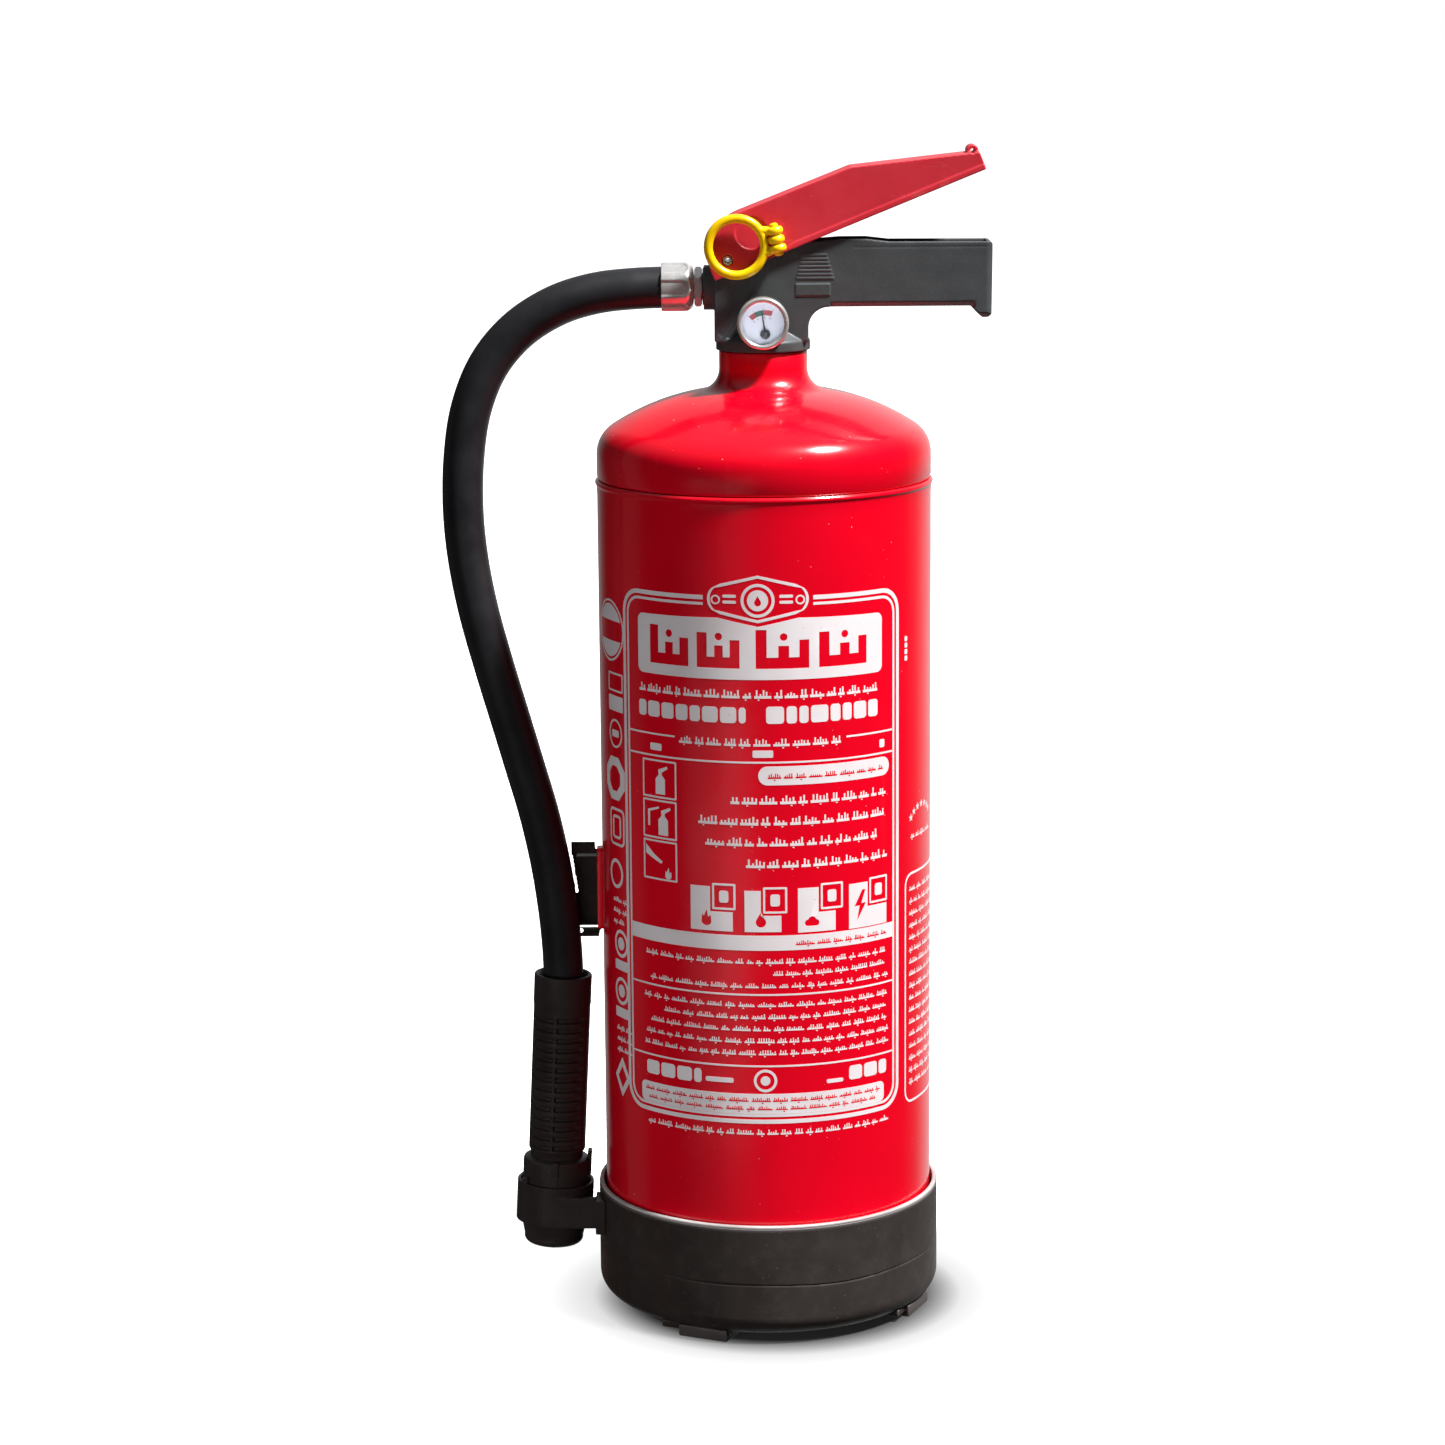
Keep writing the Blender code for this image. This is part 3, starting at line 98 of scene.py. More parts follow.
# Hose: the route's own points, (x, z) in the plane of the handle.
HOSE_DIAMETER = 0.0185
HOSE_ROUTE = (
    (-0.0320, 0.4612),
    (-0.0560, 0.4606),
    (-0.0755, 0.4584),
    (-0.0932, 0.4527),
    (-0.1099, 0.4420),
    (-0.1228, 0.4268),
    (-0.1309, 0.4076),
    (-0.1346, 0.3862),
    (-0.1355, 0.3625),
    (-0.1337, 0.3395),
    (-0.1294, 0.3155),
    (-0.1229, 0.2903),
    (-0.1161, 0.2663),
    (-0.1099, 0.2443),
    (-0.1039, 0.2226),
    (-0.0991, 0.2001),
    (-0.0960, 0.1790),
    (-0.0944, 0.1620),
    (-0.0938, 0.1465),
    (-0.0945, 0.1320),
)

# Camera, on the object's front side.
CAMERA_DISTANCE = 1.69
CAMERA_HEIGHT = 0.5952
CAMERA_PITCH = math.radians(10.9)
CAMERA_YAW = math.radians(0.66)
CAMERA_ROLL = math.radians(0.47)
CAMERA_LENS = 94.25
SENSOR_WIDTH = 36
CLIP_START = 0.01

# ---------------------------------------------------------------- camera, light and floor


def link(name, data):
    """A new object with this data, in the scene."""
    obj = bpy.data.objects.new(name, data)
    bpy.context.scene.collection.objects.link(obj)
    return obj


def meshed(name, shape):
    """A new mesh from a bmesh, which is freed."""
    mesh = bpy.data.meshes.new(name)
    shape.to_mesh(mesh)
    shape.free()
    return mesh


def add_node(tree, kind, **inputs):
    """A new shader node; each input is given a socket to link or a value."""
    node = tree.nodes.new("ShaderNode" + kind)
    for name, value in inputs.items():
        socket = node.inputs[name.replace("_", " ")]
        if isinstance(value, bpy.types.NodeSocket):
            tree.links.new(value, socket)
        else:
            socket.default_value = value
    return node


def place_camera():
    """A camera on the front side, turned, tilted and rolled a little as the photo's is."""
    level = math.cos(CAMERA_PITCH)
    ahead = (-math.sin(CAMERA_YAW) * level, math.cos(CAMERA_YAW) * level, -math.sin(CAMERA_PITCH))
    ahead = Vector(ahead)
    right = ahead.cross(Vector((0, 0, 1))).normalized()
    up = right.cross(ahead)
    side = right * math.cos(CAMERA_ROLL) - up * math.sin(CAMERA_ROLL)
    top = up * math.cos(CAMERA_ROLL) + right * math.sin(CAMERA_ROLL)
    camera = link("camera", bpy.data.cameras.new("camera"))
    camera.data.lens = CAMERA_LENS
    camera.data.sensor_width = SENSOR_WIDTH
    camera.data.clip_start = CLIP_START
    spot = Matrix.Translation((0, -CAMERA_DISTANCE, CAMERA_HEIGHT))
    camera.matrix_world = spot @ Matrix((side, top, -ahead)).transposed().to_4x4()
    bpy.context.scene.camera = camera


# Studio walls: (degrees round the object, brightness).
STUDIO_WALLS = (
    (-180, 0.40),
    (-158, 0.22),
    (-149, 0.08),
    (-142, 0.012),
    (-124, 0.02),
    (-115, 0.075),
    (-100, 0.085),
    (-90, 0.012),
    (-40, 0.012),
    (0, 0.03),
    (60, 0.02),
    (112, 0.03),
    (128, 0.16),
    (145, 0.55),
    (165, 0.7),
)
CEILING = (0.26, 0.27, 0.30)
CEILING_FROM, CEILING_TO = 0.35, 0.95


def studio_world():
    """A pale studio: bright behind and to the right of the object, dim in front and to the left."""
    world = bpy.data.worlds.new("studio")
    world.use_nodes = True
    tree = world.node_tree
    tree.nodes.clear()
    way = add_node(tree, "TexCoord").outputs["Generated"]
    turned = add_node(tree, "Mapping", Vector=way, Rotation=(0, 0, math.pi / 2)).outputs["Vector"]
    around = add_node(tree, "TexGradient", Vector=turned)
    around.gradient_type = "RADIAL"
    stops = [((angle + 180) / 360, level) for angle, level in STUDIO_WALLS]
    walls = grey_ramp(tree, around.outputs["Fac"], stops)
    height = add_node(tree, "SeparateXYZ", Vector=way).outputs["Z"]
    above = add_node(tree, "MapRange", Value=height, From_Min=CEILING_FROM, From_Max=CEILING_TO)
    colour = mix(tree, above.outputs["Result"], walls, CEILING)
    studio = add_node(tree, "Background", Color=colour)
    paper = add_node(tree, "Background", Color=(1, 1, 1, 1))
    seen = add_node(tree, "LightPath").outputs["Is Camera Ray"]
    pick = add_node(tree, "MixShader", Fac=seen)
    tree.links.new(studio.outputs["Background"], pick.inputs[1])
    tree.links.new(paper.outputs["Background"], pick.inputs[2])
    add_node(tree, "OutputWorld", Surface=pick.outputs["Shader"])
    bpy.context.scene.world = world
    bpy.context.scene.view_settings.view_transform = "Standard"


def area_light(name, azimuth, elevation, distance, size, power, centre=(0, 0, 0.28)):
    """A soft lamp that points at centre; its azimuth is from the front, towards the handle."""
    turn = math.radians(azimuth)
    rise = math.radians(elevation)
    way = Vector(
        (math.sin(turn) * math.cos(rise), -math.cos(turn) * math.cos(rise), math.sin(rise))
    )
    lamp = bpy.data.lights.new(name, "AREA")
    lamp.shape = "RECTANGLE"
    lamp.size, lamp.size_y = size
    lamp.energy = power
    obj = link(name, lamp)
    obj.location = Vector(centre) + way * distance
    obj.rotation_euler = way.to_track_quat("Z", "Y").to_euler()
    return obj


FLOOR_R = 14
SHADOW_SHIFT = (-0.004, 0.004, 0)
# The contact shadow, and where the paper takes over from it: (distance from its middle, level).
SHADOW_STOPS = ((0.068, 0.01), (0.077, 0.32), (0.086, 0.74), (0.106, 1.0))
PAPER_STOPS = ((0.112, 0.0), (0.135, 1.0))


def floor():
    """A wide pale floor with a soft shadow round the boot, unseen in the gloss of the paint."""
    shape = bmesh.new()
    bmesh.ops.create_circle(shape, cap_ends=True, segments=96, radius=FLOOR_R)
    obj = link("floor", meshed("floor", shape))
    look, tree, shader = new_look("floor_white")
    paper = mottle(tree, (0.84, 0.84, 0.85), (0.9, 0.9, 0.9), 3, detail=2)
    place = add_node(tree, "TexCoord").outputs["Object"]
    shifted = add_node(tree, "Mapping", Vector=place, Location=SHADOW_SHIFT).outputs["Vector"]
    reach = add_node(tree, "VectorMath", Vector=shifted)
    reach.operation = "LENGTH"
    away = reach.outputs["Value"]
    tree.links.new(grey_ramp(tree, away, SHADOW_STOPS), shader.inputs["Emission Color"])
    base = mix(tree, grey_ramp(tree, away, PAPER_STOPS), (0.05, 0.05, 0.05), paper)
    tree.links.new(base, shader.inputs["Base Color"])
    shader.inputs["Emission Strength"].default_value = 1.0
    shader.inputs["Roughness"].default_value = 0.9
    shader.inputs["Specular IOR Level"].default_value = 0.0
    obj.data.materials.append(look)
    obj.visible_glossy = False
    obj.visible_diffuse = False


# ---------------------------------------------------------------- materials


def new_look(name):
    """A new material with its node tree and its shader."""
    look = bpy.data.materials.new(name)
    look.use_nodes = True
    return look, look.node_tree, look.node_tree.nodes["Principled BSDF"]


def noise(tree, scale, detail=4.0, rough=0.55, stretch=(1, 1, 1)):
    """Noise in the object's own metres, drawn out along an axis by stretch."""
    place = add_node(tree, "TexCoord").outputs["Object"]
    drawn = add_node(tree, "Mapping", Vector=place, Scale=stretch).outputs["Vector"]
    texture = add_node(tree, "TexNoise", Vector=drawn, Scale=scale, Detail=detail, Roughness=rough)
    return texture.outputs["Fac"]


def ramp(tree, value, stops):
    """A colour ramp over value; its stops are (place, colour)."""
    node = add_node(tree, "ValToRGB", Fac=value)
    elements = node.color_ramp.elements
    while len(elements) < len(stops):
        elements.new(1.0)
    for element, (place, colour) in zip(elements, stops):
        element.position = place
        element.color = (*colour, 1)
    return node.outputs["Color"]


def grey_ramp(tree, value, stops):
    """A ramp of grey levels, for a brightness or a factor."""
    return ramp(tree, value, [(place, (level,) * 3) for place, level in stops])


def mottle(tree, dark, light, scale, **grain):
    """Two colours, or two levels, in soft patches of noise."""
    make = ramp if isinstance(dark, tuple) else grey_ramp
    return make(tree, noise(tree, scale, **grain), ((0.3, dark), (0.7, light)))


def mix(tree, factor, first, second):
    """Colour first where factor is 0, second where it is 1; each a socket or a plain colour."""
    node = tree.nodes.new("ShaderNodeMix")
    node.data_type = "RGBA"
    tree.links.new(factor, node.inputs["Factor"])
    for socket, value in (("A", first), ("B", second)):
        if isinstance(value, tuple):
            node.inputs[socket].default_value = (*value, 1)
        else:
            tree.links.new(value, node.inputs[socket])
    return node.outputs["Result"]


def layered(tree, base, *layers):
    """Colours laid over a base one after another, each (factor, colour)."""
    for factor, colour in layers:
        base = mix(tree, factor, base, colour)
    return base


def finish(look, base, gloss, *bumps):
    """Links a look's colour, gloss and stacked bumps, each (height socket, strength, metres)."""
    material, tree, shader = look
    tree.links.new(base, shader.inputs["Base Color"])
    tree.links.new(gloss, shader.inputs["Roughness"])
    below = None
    for height, strength, distance in bumps:
        node = add_node(tree, "Bump", Height=height, Strength=strength, Distance=distance)
        if below is not None:
            tree.links.new(below, node.inputs["Normal"])
        below = node.outputs["Normal"]
    tree.links.new(below, shader.inputs["Normal"])
    return material


def specks(tree, scale, amount, softness=0.02):
    """Small scattered spots: 1 on a spot and 0 elsewhere."""
    edge = 1 - amount
    return grey_ramp(tree, noise(tree, scale, detail=1.0), ((edge, 0.0), (edge + softness, 1.0)))


def edge_wear(tree, low, high):
    """1 on outer edges, from how pointed the surface is."""
    pointed = add_node(tree, "NewGeometry").outputs["Pointiness"]
    return grey_ramp(tree, pointed, ((low, 0.0), (high, 1.0)))


def plain_look(name, dark, light, roughness, grain, depth=0.00004, metallic=0.0, coat=0.0):
    """A moulded or machined finish: mottled colour, uneven gloss and a fine grain of this scale."""
    look = new_look(name)
    _, tree, shader = look
    shader.inputs["Metallic"].default_value = metallic
    shader.inputs["Coat Weight"].default_value = coat
    base = ramp(tree, noise(tree, PATCH_SCALE), ((0.35, dark), (0.65, light)))
    gloss = mottle(tree, *roughness, PATCH_SCALE * 4)
    return finish(look, base, gloss, (noise(tree, grain, detail=2.0), 0.35, depth))


def red_paint():
    """Gloss powder coat with a faint orange peel, dust nibs and fine rub marks."""
    look = new_look("red_paint")
    _, tree, shader = look
    nibs = specks(tree, 700, 0.20)
    rubs = grey_ramp(
        tree, noise(tree, 60, detail=6, stretch=(1, 1, 0.05)), ((0.62, 0.0), (0.80, 0.18))
    )
    base = mottle(tree, (0.66, 0.0005, 0.011), (0.80, 0.0006, 0.015), 9)
    base = layered(tree, base, (nibs, (0.80, 0.30, 0.28)), (rubs, (0.82, 0.10, 0.10)))
    gloss = grey_ramp(tree, noise(tree, 40, detail=5), ((0.3, 0.16), (0.75, 0.27)))
    shader.inputs["Coat Weight"].default_value = 0.35
    shader.inputs["Coat Roughness"].default_value = 0.06
    wave = (noise(tree, 28, detail=1.0), 0.25, 0.0005)
    peel = (noise(tree, 260, detail=1.5), 0.10, 0.00006)
    return finish(look, base, gloss, wave, peel, (nibs, 0.5, 0.0001))


def red_plastic():
    """Satin moulded red of the lever, with pale scuffs and a fine grain."""
    look = new_look("red_plastic")
    tree = look[1]
    scuffs = noise(tree, 160, detail=8, rough=0.7, stretch=(0.25, 1, 1))
    base = layered(
        tree,
        mottle(tree, (0.52, 0.019, 0.033), (0.61, 0.030, 0.045), 35),
        (grey_ramp(tree, scuffs, ((0.60, 0.0), (0.74, 0.24))), (0.78, 0.26, 0.25)),
        (specks(tree, 1100, 0.215), (0.80, 0.30, 0.29)),
        (edge_wear(tree, 0.52, 0.60), (0.74, 0.09, 0.10)),
    )
    grain = (noise(tree, 1500, detail=2.0), 0.3, 0.00005)
    waves = (noise(tree, 70, detail=5), 0.2, 0.00015)
    return finish(look, base, mottle(tree, 0.34, 0.50, 90, detail=6), grain, waves)


def black_moulding():
    """Dark grey moulding: a fine cast grain, pale rubbed edges and dull patches."""
    look = new_look("black_moulding")
    tree = look[1]
    rubbed = (0.11, 0.12, 0.12)
    base = layered(
        tree,
        mottle(tree, (0.041, 0.046, 0.048), (0.061, 0.067, 0.069), 45, detail=6),
        (specks(tree, 1500, 0.25, 0.05), rubbed),
        (edge_wear(tree, 0.53, 0.62), rubbed),
    )
    grain = (noise(tree, 1300, detail=3.0), 0.55, 0.00010)
    waves = (noise(tree, 300, detail=3), 0.15, 0.0002)
    return finish(look, base, mottle(tree, 0.42, 0.58, 120, detail=6), grain, waves)


def boot_rubber():
    """Warm black rubber of the boot: dusty, scratched, and browner in patches towards the hose
    side.
    """
    look = new_look("boot_rubber")
    tree = look[1]
    place = add_node(tree, "TexCoord").outputs["Object"]
    across = add_node(tree, "SeparateXYZ", Vector=place).outputs["X"]
    side = add_node(tree, "MapRange", Value=across, From_Min=-0.045, From_Max=-0.075)
    blotches = grey_ramp(
        tree, noise(tree, 55, detail=6, stretch=(1, 1, 0.4)), ((0.48, 0.0), (0.70, 0.8))
    )
    # Brown patches, stronger towards the hose side (-X).
    brown_side = tree.nodes.new("ShaderNodeMath")
    brown_side.operation = "MULTIPLY"
    tree.links.new(side.outputs["Result"], brown_side.inputs[0])
    tree.links.new(blotches, brown_side.inputs[1])
    dust = noise(tree, 120, detail=8, rough=0.7)
    base = layered(
        tree,
        mottle(tree, (0.022, 0.016, 0.014), (0.036, 0.028, 0.025), 20, detail=6),
        (grey_ramp(tree, dust, ((0.50, 0.0), (0.80, 0.30))), (0.085, 0.070, 0.064)),
        (specks(tree, 800, 0.215), (0.17, 0.14, 0.13)),
        (brown_side.outputs["Value"], (0.060, 0.026, 0.010)),
        (edge_wear(tree, 0.52, 0.58), (0.16, 0.14, 0.14)),
    )
    scratches = (noise(tree, 500, detail=3, stretch=(0.15, 0.15, 1)), 0.2, 0.00012)
    gloss = mottle(tree, 0.46, 0.66, 70, detail=5)
    return finish(look, base, gloss, (noise(tree, 900), 0.35, 0.00008), scratches)


def screen_print():
    """White ink, thin enough for the red to tint it, with small pinholes."""
    look = new_look("screen_print")
    tree = look[1]
    base = mottle(tree, (0.72, 0.64, 0.65), (0.82, 0.77, 0.78), 30, detail=5)
    base = mix(tree, specks(tree, 800, 0.205), base, (0.70, 0.10, 0.12))
    grain = (noise(tree, 900, detail=2), 0.25, 0.00003)
    return finish(look, base, mottle(tree, 0.30, 0.44, 60), grain)


def chrome_look(name, roughness, dull=0.0):
    """Bright plating with fine scratches and dull spots."""
    look = new_look(name)
    _, tree, shader = look
    base = mottle(tree, (0.86, 0.84, 0.80), (0.74, 0.72, 0.70), 120, detail=5)
    base = mix(tree, specks(tree, 900, 0.22 + dull, 0.04), base, (0.30, 0.27, 0.25))
    shader.inputs["Metallic"].default_value = 0.7
    scratches = (noise(tree, 900, detail=3, stretch=(0.08, 1, 1)), 0.15, 0.00004)
    waves = (noise(tree, 90, detail=2), 0.15, 0.0002)
    return finish(look, base, mottle(tree, *roughness, 300, detail=6), scratches, waves)


def gauge_glass():
    """Clear glass with faint smears."""
    look, tree, shader = new_look("gauge_glass")
    shader.inputs["Base Color"].default_value = (0.97, 0.98, 1.0, 1)
    shader.inputs["Transmission Weight"].default_value = 1.0
    shader.inputs["IOR"].default_value = 1.2
    smears = grey_ramp(tree, noise(tree, 150, detail=4), ((0.4, 0.02), (0.8, 0.12)))
    tree.links.new(smears, shader.inputs["Roughness"])
    return look


# Patches per metre of a plain look's colour; its gloss varies four times as finely.
PATCH_SCALE = 25.0

# Plain looks: dark and light colour, range of roughness, grain scale, then depth, metal and coat.
PLAIN_LOOKS = {
    # The hose's dark rubber colour is lifted and tinted blue as a painted sheen.
    "hose_rubber": ((0.010, 0.010, 0.0115), (0.016, 0.016, 0.018), (0.34, 0.46), 700, 0.00005),
    "nozzle_rubber": ((0.020, 0.014, 0.013), (0.032, 0.025, 0.023), (0.36, 0.54), 900, 0.00006),
    "clip_plastic": ((0.024, 0.018, 0.016), (0.040, 0.032, 0.028), (0.38, 0.52), 900, 0.00006),
    "yellow_plastic": (
        (0.86, 0.52, 0.0), (0.94, 0.64, 0.003), (0.24, 0.38), 500, 0.00005, 0.0, 0.2
    ),
    "dial_white": ((0.62, 0.66, 0.76), (0.72, 0.76, 0.84), (0.45, 0.6), 1200),
    "dial_red": ((0.36, 0.06, 0.08), (0.46, 0.09, 0.11), (0.45, 0.6), 1200),
    "dial_green": ((0.03, 0.10, 0.08), (0.05, 0.15, 0.12), (0.45, 0.6), 1200),
    "dial_ink": ((0.05, 0.055, 0.07), (0.10, 0.11, 0.13), (0.45, 0.6), 1200),
    "needle_paint": ((0.030, 0.038, 0.042), (0.050, 0.058, 0.062), (0.4, 0.6), 1500),
    "rim_grey": ((0.30, 0.27, 0.26), (0.50, 0.47, 0.46), (0.45, 0.6), 700),
    "steel": ((0.45, 0.45, 0.47), (0.60, 0.60, 0.62), (0.22, 0.38), 1200, 0.00004, 1.0),
    "brass": ((0.62, 0.43, 0.18), (0.76, 0.56, 0.28), (0.22, 0.36), 1200, 0.00004, 1.0),
    "seal_rubber": ((0.015, 0.015, 0.015), (0.03, 0.03, 0.03), (0.5, 0.7), 900),
    "grey_plastic": ((0.25, 0.25, 0.26), (0.34, 0.34, 0.35), (0.4, 0.55), 900),
    "powder": ((0.78, 0.74, 0.60), (0.90, 0.87, 0.76), (0.8, 0.95), 1800, 0.0002),
}


def make_looks():
    """Every material, by name."""
    looks = {
        "red_paint": red_paint(),
        "red_plastic": red_plastic(),
        "black_moulding": black_moulding(),
        "boot_rubber": boot_rubber(),
        "screen_print": screen_print(),
        "gauge_glass": gauge_glass(),
        "chrome": chrome_look("chrome", (0.16, 0.28)),
        "dull_steel": chrome_look("dull_steel", (0.28, 0.50), 0.04),
    }
    looks.update({name: plain_look(name, *surface) for name, surface in PLAIN_LOOKS.items()})
    return looks


# ---------------------------------------------------------------- mesh helpers


def arc(centre, radius, start, end, steps=8):
    """Points on an arc, between two angles in degrees."""
    turns = [math.radians(start + (end - start) * i / steps) for i in range(steps + 1)]
    return [(centre[0] + radius * math.cos(t), centre[1] + radius * math.sin(t)) for t in turns]


def smoothstep(low, high, value):
    """0 below low, 1 above high, and a smooth rise between them."""
    share = min(1.0, max(0.0, (value - low) / (high - low)))
    return share * share * (3 - 2 * share)


def evaluated_mesh(obj):
    """A mesh of the object as it looks with its curve shape or its modifiers."""
    bpy.context.view_layer.update()
    return bpy.data.meshes.new_from_object(obj.evaluated_get(bpy.context.evaluated_depsgraph_get()))


def bake(obj):
    """Applies the object's modifiers to its mesh."""
    mesh = evaluated_mesh(obj)
    obj.modifiers.clear()
    obj.data = mesh
    return obj


def lathe(name, profile, sides=ROUND, closed=False, shape=None):
    """A turned mesh. profile is (radius, height) down the outer side; shape(angle, radius, height)
    may bend a radius. A closed profile joins its last point to its first; any other starts and ends
    on the axis."""
    turned = bmesh.new()
    rings = []
    for radius, height in profile:
        if radius < TINY:
            rings.append([turned.verts.new((0, 0, height))])
            continue
        ring = []
        for side in range(sides):
            turn = FULL_TURN * side / sides
            r = shape(turn, radius, height) if shape else radius
            ring.append(turned.verts.new((r * math.cos(turn), r * math.sin(turn), height)))
        rings.append(ring)
    pairs = list(zip(rings, rings[1:]))
    if closed:
        pairs.append((rings[-1], rings[0]))
    for upper, lower in pairs:
        for side in range(sides):
            after = (side + 1) % sides
            corners = [upper[side % len(upper)], lower[side % len(lower)]]
            corners += [lower[after % len(lower)], upper[after % len(upper)]]
            unique = list(dict.fromkeys(corners))
            if len(unique) > 2:
                turned.faces.new(unique)
    bmesh.ops.recalc_face_normals(turned, faces=turned.faces)
    return link(name, meshed(name, turned))


def aim(obj, position, direction):
    """Moves a mesh made on +Z so that its origin is at position and its +Z along direction."""
    toward = Vector(direction).normalized()
    turn = Vector((0, 0, 1)).rotation_difference(toward).to_matrix().to_4x4()
    obj.data.transform(Matrix.Translation(position) @ turn)
    return obj


def block(low, high, bevel=0.0):
    """A box between two corners, with its edges rounded by bevel."""
    shape = bmesh.new()
    bmesh.ops.create_cube(shape, size=1.0)
    low, high = Vector(low), Vector(high)
    bmesh.ops.scale(shape, vec=high - low, verts=shape.verts)
    bmesh.ops.translate(shape, vec=(low + high) / 2, verts=shape.verts)
    if bevel:
        bmesh.ops.bevel(
            shape, geom=shape.edges, offset=bevel, segments=4, profile=0.5, affect="EDGES"
        )
    return link("block", meshed("block", shape))


def rod(start, end, radius, end_radius=None, sides=64):
    """A round bar, or a cone when it has an end_radius."""
    start, end = Vector(start), Vector(end)
    shape = bmesh.new()
    bmesh.ops.create_cone(
        shape,
        cap_ends=True,
        segments=sides,
        radius1=radius,
        radius2=radius if end_radius is None else end_radius,
        depth=(end - start).length,
    )
    return aim(link("rod", meshed("rod", shape)), (start + end) / 2, end - start)


def cross_rod(x, z, radius, half=THROUGH):
    """A round bar along Y."""
    return rod((x, -half, z), (x, half, z), radius)


def flat_shapes(outlines, half_width):
    """A plate from closed (x, y) outlines, in the XY plane. An outline inside another is a hole."""
    curve = bpy.data.curves.new("outline", "CURVE")
    curve.dimensions = "2D"
    curve.fill_mode = "BOTH"
    curve.extrude = half_width
    for points in outlines:
        spline = curve.splines.new("POLY")
        spline.points.add(len(points) - 1)
        for spot, (x, y) in zip(spline.points, points):
            spot.co = (x, y, 0, 1)
        spline.use_cyclic_u = True
    drawn = link("outline", curve)
    mesh = evaluated_mesh(drawn)
    bpy.data.objects.remove(drawn)
    shape = bmesh.new()
    shape.from_mesh(mesh)
    bmesh.ops.remove_doubles(shape, verts=shape.verts, dist=TINY)
    bmesh.ops.recalc_face_normals(shape, faces=shape.faces)
    return link("plate", meshed("plate", shape))


def side_plate(points, half_width, y=0.0):
    """A plate from one (x, z) outline, as thick as twice half_width across Y."""
    plate = flat_shapes([points], half_width)
    plate.data.transform(Matrix.Translation((0, y, 0)) @ Matrix.Rotation(math.pi / 2, 4, "X"))
    return plate


def bar(left, low, right, high):
    """A rectangle's outline."""
    return [(left, low), (right, low), (right, high), (left, high)]


def carve(base, added=(), removed=()):
    """Joins solids to base and cuts others out of it, in order, and removes them all."""
    steps = [("UNION", solid) for solid in added] + [("DIFFERENCE", solid) for solid in removed]
    for operation, solid in steps:
        step = base.modifiers.new("step", "BOOLEAN")
        step.operation = operation
        step.object = solid
    bake(base)
    for _, solid in steps:
        bpy.data.objects.remove(solid)
    return base


def mould(name, base, added=(), removed=(), voxel=0.0003, relax=3):
    """One moulded solid: union and cuts, remeshed finely and relaxed, so every edge is rounded."""
    carve(base, added, removed)
    remesh = base.modifiers.new("skin", "REMESH")
    remesh.mode = "VOXEL"
    remesh.voxel_size = voxel
    smooth = base.modifiers.new("relax", "SMOOTH")
    smooth.factor = 0.5
    smooth.iterations = relax
    base.name = name
    return bake(base)


def dress(obj, name, look, body="root", replaces=(), sharp=40):
    """Names and raises a piece, gives it its look and slot, and puts it on its body."""
    obj.name = name
    obj.data.transform(Matrix.Translation(DATUM))
    obj.data.materials.clear()
    obj.data.materials.append(LOOKS[look])
    if obj.type == "MESH":
        obj.data.shade_smooth()
        if sharp:
            obj.data.set_sharp_from_angle(angle=math.radians(sharp))
    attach(obj, body)
    if replaces:
        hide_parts(*replaces)
    return obj


# ---------------------------------------------------------------- hose and its end


def smooth_route(route, steps):
    """Points on a smooth curve through the route's points."""
    spots = [Vector((x, 0, z)) for x, z in route]
    spots = [2 * spots[0] - spots[1]] + spots + [2 * spots[-1] - spots[-2]]
    points = []
    for a, b, c, d in zip(spots, spots[1:], spots[2:], spots[3:]):
        for step in range(steps):
            t = step / steps
            bend = 2 * a - 5 * b + 4 * c - d
            twist = 3 * b - a - 3 * c + d
            points.append((2 * b + (c - a) * t + bend * t**2 + twist * t**3) / 2)
    points.append(spots[-2])
    return points


def hose():
    """The hose along its route, and its length."""
    points = smooth_route(HOSE_ROUTE, 8)
    curve = bpy.data.curves.new("hose_skin", "CURVE")
    curve.dimensions = "3D"
    curve.bevel_depth = HOSE_DIAMETER / 2
    curve.bevel_resolution = 10
    curve.use_fill_caps = True
    spline = curve.splines.new("POLY")
    spline.points.add(len(points) - 1)
    for spot, point in zip(spline.points, points):
        spot.co = (*point, 1)
    spline.use_smooth = True
    obj = link("hose_skin", curve)
    length = sum((b - a).length for a, b in zip(points, points[1:]))
    return dress(obj, "hose_skin", "hose_rubber", replaces=["hose"]), length


NOZZLE_TOP = Vector((-0.0938, 0, 0.1465))
NOZZLE_TIP = Vector((-0.1003, 0, 0.0178))
COLLAR_R = 0.0133
COLLAR_LENGTH = 0.0142
GRIP_R = 0.0131
GRIP_LENGTH = 0.0880
RIB_PITCH = 0.00468
RIB_COUNT = 14
RIB_START = 0.0176
RIB_DEPTH = 0.0015
SPINE_TURN = math.radians(-100)
CUP_R = 0.0154
CUP_END_R = 0.0135


def grip_shape(turn, radius, height):
    """Rib gaps across the front and the back of the grip, each split by a spine."""
    along = -height - RIB_START
    gap = math.floor(along / RIB_PITCH)
    if radius < GRIP_R - 0.0006 or not 0 <= gap < RIB_COUNT:
        return radius
    inside = abs(along / RIB_PITCH - gap - 0.5) * 2
    deep = 1 - smoothstep(0.34, 0.62, inside)
    reach = math.degrees(abs(math.remainder(turn - SPINE_TURN, math.pi)))
    window = smoothstep(2.0, 5.0, reach) * (1 - smoothstep(52, 72, reach))
    return radius - RIB_DEPTH * deep * window


